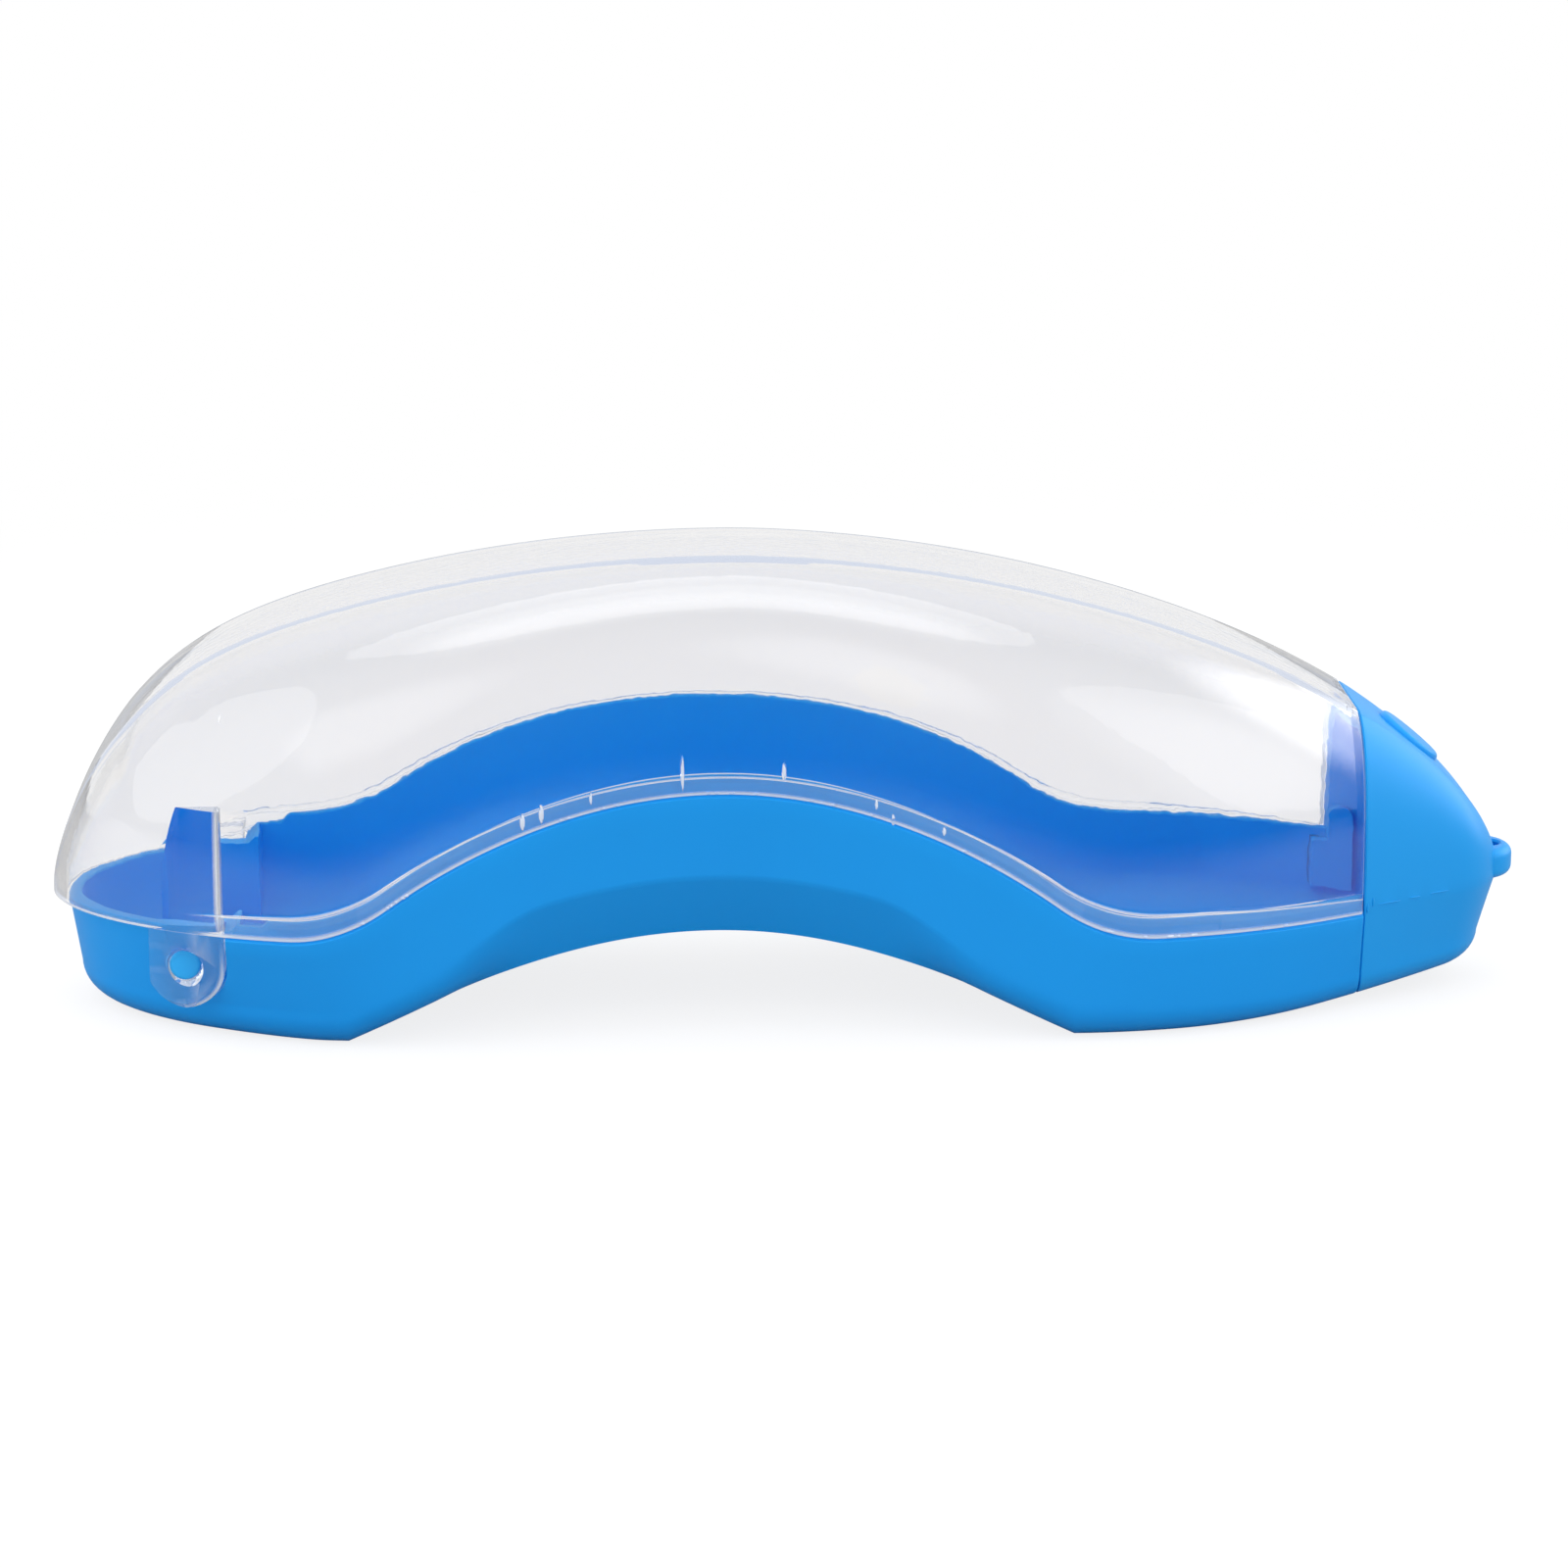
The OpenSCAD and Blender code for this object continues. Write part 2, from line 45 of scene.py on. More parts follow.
HOOD_ROUND = 1.5
BAY_HALF = 29.1
SEAM_HALF = 18.2
WAIST_IN = 6.1
WAIST_X = -8
WAIST_RUN = 55
TAPER = math.radians(28)
TAPER_R = 72
LID_TOP = 62.9
TOP_X = -8.5
BACK_R = 207
HOOD_START = -40.5
HOOD_RUN = 6.6
HOOD_RISE = 1.39
HOOD_NUB = 0.8
FALL = 1.77
ARCH_X = -10.5
RIM_TOP = 35.8
LEFT_RIM = 17.8
RIGHT_RIM = 16.6
RIM_R = 77
RIM_BLEND = 23
PART_Z = 15.3
BELLY_X = -11.3
BELLY_TOP = 13.3
BELLY_R = 91
FOOT_HALF = 48.7
LEFT_FLAT = 3
RIGHT_FLAT = 12.5
LEFT_BELLY_R = 560
RIGHT_BELLY_R = 300
# At the hinge end, the middle and the nose: edge radius, inset of the walls' foot, and depth below the rim
# at which the inner wall starts to round into the floor
BELLY_EDGE = (4.4, 4.9, 3.6)
FOOT_IN = (3.5, 0.1, 2.3)
INNER_DROP = (1.5, 8.5, 8.5)
# Run from the hinge over which the foot's inset goes over to the middle's
FOOT_RUN = 38
# Under the arch the outer wall leans in instead: height, inset, and distances from the arch's middle
LEAN_HIGH = 8.7
LEAN_IN = 4.3
LEAN_RUN = (22, 38)
TRAY_WALL = 2.5
END_WALL = 2
FLOOR_T = 2.2
INNER_EDGE = 8
NOSE_SOLID = 6
LID_WALL = 1.6
SKIRT_WALL = 1
SKIRT = 2.4
CROWN = 3
STRIP_HALF = 9
HINGE_X = -81.7
HINGE_Z = 10.4
EAR_R = 5.45
EAR_IN = 20.5
EAR_OUT = 24
EAR_MOUTH = 0.7
MOUTH_T = 2
FLAT_TOP = 32
REAR_FLAT_TOP = 17.5
PIN_R = 2.1
PIN_OUT = 1.7
PIN_IN = 1.8
PAD_T = 2.6
RIM_STEP = 1
STEP_X = -70
STEP_RUN = 4.4
FIN_T = 1.4
FIN_RUN = 2.2
FIN_ROOT = 3
FIN_LOW = 8.5
FIN_HIGH = 20.5
HOOK = 0.9
HOOK_RUN = 1.1
HOOK_HIGH = 15.2
EYE_X = 97.7
EYE_R = 1.6
EYE_WALL = 1.7
EYE_HALF = 5.2
EYE_LOW = 14.8
EYE_T = 4.2
THUMB_X = 86
THUMB_R = 5
THUMB_UP = 0.7
GAP = 0.3
HOOD_GAP = 0.4
PIN_GAP = 0.06
PRESS_GAP = 0.01
HOOK_GAP = 0.1

# Sizes that follow from them
LEFT_X = WAIST_X - WAIST_RUN
HOOD_LEN = HOOD_REACH + LEFT_X
TAPER_LEAD = TAPER_R * math.tan(TAPER / 2) * math.cos(TAPER)
TAPER_END = SEAM_X - (BAY_HALF - SEAM_HALF) / math.tan(TAPER) + TAPER_LEAD
TAPER_START = TAPER_END - TAPER_R * math.sin(TAPER)
NOSE_R = (math.cos(TAPER) * SEAM_HALF - math.sin(TAPER) * (NOSE_REACH - SEAM_X)) / (1 - math.sin(TAPER))
NOSE_C = NOSE_REACH - NOSE_R
NOSE_TURN = NOSE_C + NOSE_R * math.sin(TAPER)
RABBET = SKIRT_WALL + GAP
LEDGE = SKIRT + GAP
HOOD_IN = LID_WALL + HOOD_GAP
LID_EDGE = LEFT_RIM - SKIRT
# The profile falls to just past the nose's tip and just below the parting line, over which the dome keeps a
# least height
FALL_END = NOSE_REACH + 0.16
FALL_BASE = PART_Z - 0.3
TIP_NUB = 0.4
POCKET_R = EAR_R + GAP
POCKET_IN = EAR_IN - GAP
PAD_IN = POCKET_IN - PAD_T
FIN_OUT = TRAY_WALL + GAP / 2
LEFT_FOOT = BELLY_X - FOOT_HALF
RIGHT_FOOT = BELLY_X + FOOT_HALF
EYE_TIP = EYE_X + EYE_R + EYE_WALL

# Sizes of the modelling in millimetres: reach of tool bodies, how far they pass a face, rounding at the seam,
# softening of the crease of the flat strip, step that measures a slope, and least half width of the dome
FAR = 40
PAST = 1
SEAM_ROUND = 0.3
CREASE_SOFT = 0.6
SLOPE_STEP = 0.1
LEAST_HALF = 0.1
# Rows of the lid's dome, the nose's dome and its hollow, steps round a turned body, and angle of a sharp edge
LID_ROWS = 49
NOSE_ROWS = 33
HOLLOW_STEPS = 24
TURN_STEPS = 96
SHARP_ANGLE = math.radians(30)
MM = 0.001


# Outlines and heights along the case, for arrays of places

def ease(x, start, end):
    t = np.clip((x - start) / (end - start), 0, 1)
    return t * t * (3 - 2 * t)


def along(x, values):
    """Value at x between those for the hinge end, the middle and the nose."""
    left, mid, right = values
    to_left = np.clip((LEFT_X - x) / HOOD_LEN, 0, 1)
    to_right = np.clip((x - TAPER_START) / (NOSE_REACH - TAPER_START), 0, 1)
    return np.where(x < LEFT_X, mid + (left - mid) * to_left, mid + (right - mid) * to_right)


def half_width(x):
    run = np.where(x < WAIST_X, WAIST_RUN, TAPER_START - WAIST_X)
    waist = BAY_HALF - WAIST_IN * (1 + np.cos(np.pi * (x - WAIST_X) / run)) / 2
    arc = BAY_HALF - TAPER_R + np.sqrt(np.maximum(TAPER_R ** 2 - (x - TAPER_START) ** 2, 0))
    straight = SEAM_HALF - math.tan(TAPER) * (x - SEAM_X)
    return np.where(x < TAPER_START, waist, np.where(x < TAPER_END, arc, straight))


def slant(x):
    """How much further an inset reaches across the case than square to its side."""
    turn = np.arcsin(np.clip((x - TAPER_START) / TAPER_R, 0, 1))
    return 1 / np.cos(np.where(x < TAPER_START, 0, np.where(x < TAPER_END, turn, TAPER)))


def body_point(u, inset):
    """Outline of the body at stations u, set in: hood's end up to u = 1, then sides up to the seam at 2."""
    t = 1 - np.minimum(u, 1) ** 2
    x = np.where(u <= 1, LEFT_X - (HOOD_LEN - inset) * t, LEFT_X + (SEAM_X - LEFT_X) * (u - 1))
    end_y = (BAY_HALF - inset) * np.sqrt(np.maximum(1 - t ** HOOD_ROUND, 0))
    return x, np.where(u <= 1, end_y, half_width(x) - inset * slant(x))


def station_at(x):
    return math.sqrt(1 - (LEFT_X - x) / HOOD_LEN) if x < LEFT_X else 1 + (x - LEFT_X) / (SEAM_X - LEFT_X)


# Share of the nose's stations that goes round its tip
TIP_SHARE = 0.6


def nose_point(u, inset, x_end=SEAM_X):
    """Outline of the nose from its tip to the seam, set in."""
    a = (math.pi / 2 - TAPER) * np.minimum(u, TIP_SHARE) / TIP_SHARE
    w = (1 - u) / (1 - TIP_SHARE)
    side_x = x_end + (NOSE_TURN - x_end) * w - inset * math.sin(TAPER) * w
    side_y = SEAM_HALF - math.tan(TAPER) * (side_x - SEAM_X) - inset / math.cos(TAPER)
    x = np.where(u < TIP_SHARE, NOSE_C + (NOSE_R - inset) * np.cos(a), side_x)
    return x, np.where(u < TIP_SHARE, (NOSE_R - inset) * np.sin(a), side_y)


def rim_z(x):
    bay = np.where(x < ARCH_X, LEFT_RIM, RIGHT_RIM)
    dx = np.abs(x - ARCH_X)
    run = np.sqrt((RIM_R + RIM_BLEND) ** 2 - (bay + RIM_BLEND - RIM_TOP + RIM_R) ** 2)
    arch = RIM_TOP - RIM_R + np.sqrt(np.maximum(RIM_R ** 2 - dx ** 2, 0))
    turn = bay + RIM_BLEND - np.sqrt(np.maximum(RIM_BLEND ** 2 - (run - dx) ** 2, 0))
    return np.where(dx < run * RIM_R / (RIM_R + RIM_BLEND), arch, np.where(dx < run, turn, bay))


def incline_angle():
    """Angle of the line that touches the belly's arch and meets the foot's edge, by halving."""
    low, high = math.radians(5), math.radians(40)
    for _ in range(40):
        mid = (low + high) / 2
        height = BELLY_TOP - BELLY_R + BELLY_R / math.cos(mid) - FOOT_HALF * math.tan(mid)
        low, high = (mid, high) if height > 0 else (low, mid)
    return mid


BELLY_SLOPE = incline_angle()


def belly_z(x):
    dx = np.abs(x - BELLY_X)
    arch = BELLY_TOP - BELLY_R + np.sqrt(np.maximum(BELLY_R ** 2 - dx ** 2, 0))
    slope = (FOOT_HALF - dx) * math.tan(BELLY_SLOPE)
    r = np.where(x < BELLY_X, LEFT_BELLY_R, RIGHT_BELLY_R)
    flat = np.where(x < BELLY_X, LEFT_FLAT, RIGHT_FLAT)
    outer = r - np.sqrt(r ** 2 - np.maximum(dx - FOOT_HALF - flat, 0) ** 2)
    return np.where(dx < BELLY_R * math.sin(BELLY_SLOPE), arch, np.where(dx < FOOT_HALF, slope, outer))


def foot_in(x):
    """How far the walls' foot is set in."""
    left, mid, right = FOOT_IN
    to_left = 1 - ease(x, HINGE_X, HINGE_X + FOOT_RUN)
    to_right = np.clip((x - TAPER_START) / (NOSE_REACH - TAPER_START), 0, 1)
    return mid + (left - mid) * to_left + (right - mid) * to_right


def lid_z(x):
    right = np.clip((x - TOP_X) / (FALL_END - TOP_X), 0, 1)
    fall = FALL_BASE + (LID_TOP - FALL_BASE) * (1 - right ** FALL) ** (1 / FALL)
    back = LID_TOP - BACK_R + np.sqrt(BACK_R ** 2 - (x - TOP_X) ** 2)
    t = np.clip((HOOD_START - x) / (HOOD_START + HOOD_REACH), 0, 1)
    base = LID_EDGE + HOOD_NUB
    return np.where(x > TOP_X, fall, base + (back - base) * (1 - t ** HOOD_RUN) ** (1 / HOOD_RISE))


def lid_slope(x):
    return (lid_z(x - SLOPE_STEP) - lid_z(x + SLOPE_STEP)) / (2 * SLOPE_STEP)


def top_drop(x, wall):
    """How far a wall, measured square to the profile's slope, reaches straight down."""
    return wall * np.sqrt(1 + lid_slope(x) ** 2)


def dome(x, y, share, base, top):
    """Point of the dome over the half width y: share 0 is its foot, 1 the edge of the flat strip on top."""
    high = np.maximum(base + TIP_NUB, top)
    wide = np.maximum(y, LEAST_HALF)
    edge = np.arccos((np.minimum(STRIP_HALF, wide / 2) / wide) ** (CROWN / 2))
    a = edge * share
    z = base + (high - base) * (np.sin(a) / np.sin(edge)) ** (2 / CROWN)
    z = np.where(y < LEAST_HALF, base + (high - base) * share, z)
    return np.stack([x, y * np.cos(a) ** (2 / CROWN), z], axis=-1)


def dome_rows(x, y, base, top, count):
    """Rows of the dome from its foot up to the strip, whose crease is softened over a small width."""
    wide = np.maximum(y, LEAST_HALF)
    edge = np.minimum(STRIP_HALF, wide / 2)
    reach = np.minimum(CREASE_SOFT, 0.2 * edge)
    below = np.arccos(((edge + reach) / wide) ** (CROWN / 2)) / np.arccos((edge / wide) ** (CROWN / 2))
    rows = [dome(x, y, share, base, top) for share in np.linspace(0, 1, count)[:-1]]
    rows.append(dome(x, y, below, base, top))
    flat = dome(x, y, 1, base, top)
    flat[:, 1] = np.where(y < LEAST_HALF, flat[:, 1], flat[:, 1] - reach)
    return rows + [flat]


# Meshes. They are made in millimetres, and finish_piece turns them to metres

def new_object(name, points, faces):
    mesh = bpy.data.meshes.new(name)
    mesh.from_pydata([tuple(p) for p in points], [], faces)
    work = bmesh.new()
    work.from_mesh(mesh)
    bmesh.ops.remove_doubles(work, verts=work.verts, dist=1e-4)
    bmesh.ops.recalc_face_normals(work, faces=work.faces)
    work.to_mesh(mesh)
    work.free()
    piece = bpy.data.objects.new(name, mesh)
    bpy.context.scene.collection.objects.link(piece)
    return piece


def loft(name, rows):
    """Body through rows of half outlines, mirrored in the centre plane, with a flat end at the seam."""
    rows = np.array(rows)
    count, width = rows.shape[0], rows.shape[1]
    mirrored = rows[:, :0:-1] * (1, -1, 1)
    points = np.concatenate([mirrored, rows], axis=1).reshape(-1, 3)
    ring = 2 * width - 1
    faces = []
    for r in range(count - 1):
        for j in range(ring - 1):
            a = r * ring + j
            faces.append((a, a + 1, a + ring + 1, a + ring))
    for r in (0, count - 1):
        middle = r * ring + width - 1
        faces.append((middle - 1, middle, middle + 1))
        for j in range(1, width - 1):
            faces.append((middle - j - 1, middle - j, middle + j, middle + j + 1))
    left = [r * ring for r in range(count - 1, -1, -1)]
    right = [r * ring + ring - 1 for r in range(count)]
    faces.append(tuple(left + right))
    return new_object(name, points, faces)


def layers(name, outlines, levels, upright=False):
    """Body through like outlines at levels: in plan at heights, or in the side view at places across."""
    count, last = len(outlines[0]), (len(levels) - 1) * len(outlines[0])
    points = [(a, level, b) if upright else (a, b, level)
              for outline, level in zip(outlines, levels) for a, b in outline]
    faces = [(k + i, k + (i + 1) % count, k + count + (i + 1) % count, k + count + i)
             for k in range(0, last, count) for i in range(count)]
    faces += [tuple(range(count)), tuple(range(last, last + count))]
    return new_object(name, points, faces)


def half_circle(radius, steps=40):
    """Lower half of a circle about the hinge in the side view."""
    return [(HINGE_X + radius * math.cos(a), HINGE_Z + radius * math.sin(a))
            for a in (math.pi * (1 + i / steps) for i in range(steps + 1))]


def extrude(name, outline, low, high, upright=False):
    """Prism over an outline: in plan between two heights, or in the side view between two places across."""
    return layers(name, [outline, outline], (low, high), upright)


def rectangle(left, right, near, far):
    return [(left, near), (right, near), (right, far), (left, far)]


def lathe(name, profile, centre, axis):
    """Body of revolution through (radius, along) points about an axis, 1 for Y and 2 for Z."""
    points, faces = [], []
    for radius, height in profile:
        for i in range(TURN_STEPS):
            a = 2 * math.pi * i / TURN_STEPS
            across, up = radius * math.cos(a), radius * math.sin(a)
            spot = (across, height, up) if axis == 1 else (across, up, height)
            points.append(Vector(spot) + Vector(centre))
    last = (len(profile) - 1) * TURN_STEPS
    for ring in range(0, last, TURN_STEPS):
        for i in range(TURN_STEPS):
            j = (i + 1) % TURN_STEPS
            faces.append((ring + i, ring + j, ring + TURN_STEPS + j, ring + TURN_STEPS + i))
    faces += [tuple(range(TURN_STEPS)), tuple(range(last, last + TURN_STEPS))]
    return new_object(name, points, faces)


def combine(target, tool, operation):
    """Cuts, adds or keeps what a tool body shares with the target, and removes the tool."""
    change = target.modifiers.new(operation, "BOOLEAN")
    change.operation = operation
    change.solver = "MANIFOLD"
    change.object = tool
    depsgraph = bpy.context.evaluated_depsgraph_get()
    mesh = bpy.data.meshes.new_from_object(target.evaluated_get(depsgraph))
    target.modifiers.clear()
    old = target.data
    target.data = mesh
    bpy.data.meshes.remove(old)
    bpy.data.objects.remove(tool)


def cut(target, tool):
    combine(target, tool, "DIFFERENCE")


def add(target, tool):
    combine(target, tool, "UNION")


def keep(target, tool):
    combine(target, tool, "INTERSECT")


def mirror(points):
    return [(a, -b) for a, b in points]


def finish_piece(piece, material, body, nodes):
    mesh = piece.data
    mesh.transform(Matrix.Scale(MM, 4))
    mesh.shade_smooth()
    mesh.set_sharp_from_angle(angle=SHARP_ANGLE)
    mesh.materials.clear()
    mesh.materials.append(material)
    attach(piece, body)
    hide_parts(*nodes)


def body_stations(x_end):
    """Stations along the body, close together where the rim steps down and at the seam."""
    places = (STEP_X - STEP_RUN - 2, STEP_X + 1, LEFT_FOOT - LEFT_FLAT, LEFT_FOOT, RIGHT_FOOT,
              RIGHT_FOOT + RIGHT_FLAT, SEAM_X - 1)
    marks = [0] + [station_at(x) for x in places]
    counts = (46, 36, 6, 4, 104, 12, 26)
    parts = [np.linspace(a, b, n, endpoint=False) for a, b, n in zip(marks, marks[1:], counts)]
    end = np.linspace(SEAM_X - 1, x_end, 10)
    return np.concatenate(parts + [[station_at(x) for x in end]])


def seam_inset(x):
    """How far the rounding of the edge at the seam sets the surface in."""
    left = np.clip(np.abs(SEAM_X - x), 0, SEAM_ROUND)
    return SEAM_ROUND - np.sqrt(np.maximum(SEAM_ROUND ** 2 - (SEAM_ROUND - left) ** 2, 0))


def arc(steps):
    """Angles of a quarter turn."""
    return [math.pi / 2 * i / steps for i in range(steps + 1)]


# Moulding marks, made by Geometry Nodes

def make_beads(name, beads):
    """Small drawn-out beads as one body: centre, lengths along, across and up, and turn in plan for each."""
    mesh = bpy.data.meshes.new(name)
    mesh.from_pydata([centre for centre, _, _ in beads], [], [])
    sizes = [value for _, size, _ in beads for value in size]
    turns = [value for _, _, turn in beads for value in (0.0, 0.0, turn)]
    mesh.attributes.new("size", "FLOAT_VECTOR", "POINT").data.foreach_set("vector", sizes)
    mesh.attributes.new("turn", "FLOAT_VECTOR", "POINT").data.foreach_set("vector", turns)
    piece = bpy.data.objects.new(name, mesh)
    bpy.context.scene.collection.objects.link(piece)
    tree = bpy.data.node_groups.new("beads_on_points", "GeometryNodeTree")
    tree.interface.new_socket("Geometry", in_out="OUTPUT", socket_type="NodeSocketGeometry")
    tree.interface.new_socket("Geometry", in_out="INPUT", socket_type="NodeSocketGeometry")
    thick = tree.interface.new_socket("Swell", in_out="INPUT", socket_type="NodeSocketFloat")
    coat = tree.interface.new_socket("Material", in_out="INPUT", socket_type="NodeSocketMaterial")
    given = node(tree, "NodeGroupInput")
    size = node(tree, "GeometryNodeInputNamedAttribute", {"data_type": "FLOAT_VECTOR"}, Name="size")
    turn = node(tree, "GeometryNodeInputNamedAttribute", {"data_type": "FLOAT_VECTOR"}, Name="turn")
    bead = node(tree, "GeometryNodeMeshUVSphere", Segments=12, Rings=8, Radius=0.5)
    scale = node(tree, "ShaderNodeVectorMath", {"operation": "SCALE"}, _0=size.outputs["Attribute"],
                 Scale=given.outputs["Swell"])
    placed = node(tree, "GeometryNodeInstanceOnPoints", Points=given.outputs["Geometry"],
                  Instance=bead.outputs["Mesh"], Rotation=turn.outputs["Attribute"],
                  Scale=scale.outputs["Vector"])
    real = node(tree, "GeometryNodeRealizeInstances", Geometry=placed.outputs["Instances"])
    coated = node(tree, "GeometryNodeSetMaterial", Geometry=real.outputs["Geometry"],
                  Material=given.outputs["Material"])
    node(tree, "NodeGroupOutput", Geometry=coated.outputs["Geometry"])
    change = piece.modifiers.new("beads", "NODES")
    change.node_group = tree
    change[thick.identifier] = 1.0
    change[coat.identifier] = None
    depsgraph = bpy.context.evaluated_depsgraph_get()
    piece.data = bpy.data.meshes.new_from_object(piece.evaluated_get(depsgraph))
    piece.modifiers.clear()
    return piece


# Tray

def end_share(x):
    """1 at the hinge end, which stands inside the lid, and 0 past the pockets."""
    return 1 - ease(x, HINGE_X, HINGE_X + POCKET_R)


def tray_in(x):
    """Inset of the outer wall under the rabbet."""
    return HOOD_IN * end_share(x)


def rim_in(x):
    """Inset of the rim, a little more than the wall's."""
    return np.maximum(tray_in(x) + 0.1, RABBET)


def wall_in(x):
    """Inset of the inner wall."""
    return TRAY_WALL + (END_WALL + HOOD_IN - TRAY_WALL) * end_share(x)


def stepped_rim(x):
    """Top of the tray's rim, with its two steps down at the hinge."""
    upper = LEFT_RIM - np.clip(STEP_X - x, 0, RIM_STEP)
    lower = upper - np.clip(STEP_X - STEP_RUN - x, 0, RIM_STEP)
    return np.where(x < STEP_X, lower, rim_z(x))


def make_tray(material):
    u = body_stations(SEAM_X)
    base_x, _ = body_point(u, np.zeros_like(u))
    round_in = seam_inset(base_x)
    rows = []

    def outer(inset, height):
        x, y = body_point(u, inset + round_in)
        rows.append(np.stack([x, y, height(x)], axis=-1))

    edge, foot = along(base_x, BELLY_EDGE), foot_in(base_x)
    lean = 1 - ease(np.abs(base_x - BELLY_X), *LEAN_RUN)
    for a in arc(12):
        up = a / (math.pi / 2)
        outer(foot + edge * (1 - math.sin(a)) * (1 - lean) + LEAN_IN * (1 - up) * lean,
              lambda x: (belly_z(x) + along(x, BELLY_EDGE) * (1 - math.cos(a)) * (1 - lean)
                         + LEAN_HIGH * up * lean + round_in))
    for share in (0.04, 0.25, 0.5, 0.75):
        outer(tray_in(base_x) * share + foot * (1 - share),
              lambda x: ((belly_z(x) + along(x, BELLY_EDGE) * (1 - lean) + LEAN_HIGH * lean) * (1 - share)
                         + (rim_z(x) - LEDGE) * share))
    # Round edges of the ledge that the skirt meets, and of the rim
    lip = 0.25
    for a in arc(4):
        outer(tray_in(base_x) + lip * (1 - math.cos(a)), lambda x: rim_z(x) - LEDGE - lip * (1 - math.sin(a)))
    for a in arc(5):
        outer(rim_in(base_x) + lip * (1 - math.cos(a)), lambda x: stepped_rim(x) - lip * (1 - math.sin(a)))
    tray = loft("tray", rows)

    u = body_stations(SEAM_X + PAST)
    base_x, _ = body_point(u, np.zeros_like(u))
    rows = []

    def inner(inset, height):
        x, y = body_point(u, inset)
        rows.append(np.stack([x, y, height(x)], axis=-1))

    for a in arc(14):
        def floor(x):
            low = belly_z(x) + FLOOR_T
            high = rim_z(x) - along(x, INNER_DROP)
            return low + (high - low) * (1 - math.cos(a))
        inner(wall_in(base_x) + INNER_EDGE * (1 - math.sin(a)), floor)
    mouth = 0.35
    for a in arc(5):
        inner(wall_in(base_x) - mouth * (1 - math.cos(a)),
              lambda x: stepped_rim(x) - mouth * (1 - math.sin(a)))
    inner(wall_in(base_x) - mouth, lambda x: rim_z(x) + PAST)
    hollow = loft("tray_hollow", rows)
    # Pads that back the hinge pockets, flat on the inside
    pad_reach = POCKET_R + END_WALL
    for side in (1, -1):
        outline = rectangle(HINGE_X - pad_reach, HINGE_X + pad_reach, *sorted((side * PAD_IN, side * FAR)))
        cut(hollow, extrude("pad", outline, -PAST, FAR))
    cut(tray, hollow)

    for side in (1, -1):
        pocket = half_circle(POCKET_R) + [(HINGE_X + POCKET_R, FAR), (HINGE_X - POCKET_R, FAR)]
        cut(tray, extrude("pocket", pocket, *sorted((side * POCKET_IN, side * FAR)), upright=True))
        press = PIN_R + PRESS_GAP
        hole = [(press, side * (POCKET_IN - PIN_IN)), (press, side * (POCKET_IN + PAST))]
        cut(tray, lathe("hole", hole, (HINGE_X, 0, HINGE_Z), 1))
        end_x = SEAM_X - FIN_RUN
        recess = strip(end_x - HOOK_GAP, end_x + HOOK_RUN + HOOK_GAP,
                       FIN_OUT - HOOK - HOOK_GAP, TRAY_WALL + PAST)
        recess = recess if side == 1 else mirror(recess)
        cut(tray, extrude("recess", recess, FIN_LOW - HOOK_GAP, HOOK_HIGH + HOOK_GAP))
    finish_piece(tray, material, "case", ["base_tray"])


# Nose


def strip(x0, x1, d0, d1):
    """Strip in plan along the sloping side near the seam, between two insets."""
    def spot(x, inset):
        place = np.array(float(x))
        return x, float(half_width(place) - inset * slant(place))
    return [spot(x0, d0), spot(x1, d0), spot(x1, d1), spot(x0, d1)]


def nose_stations():
    """Shares of the nose's outline, close together at the seam."""
    close = 0.955
    tip = np.linspace(0, TIP_SHARE, 40, endpoint=False)
    side = np.linspace(TIP_SHARE, close, 30, endpoint=False)
    return np.concatenate([tip, side, np.linspace(close, 1, 9)])


# Flash on the nose: share of the outline from the tip to the seam, length, height, and the thickness of all
NOSE_MARKS = [(0.90, 4.0, PART_Z - 0.1), (0.70, 3.4, PART_Z + 0.1), (0.80, 2.0, PART_Z)]
FLASH_T = 0.24
# Gate mark in two halves: share of the outline, steps to the right and up, and size
GATE_SHARE = 0.975
GATE_STEPS = (-0.4, 0.35)
GATE_SIZE = (0.35, 0.4, 1.3)


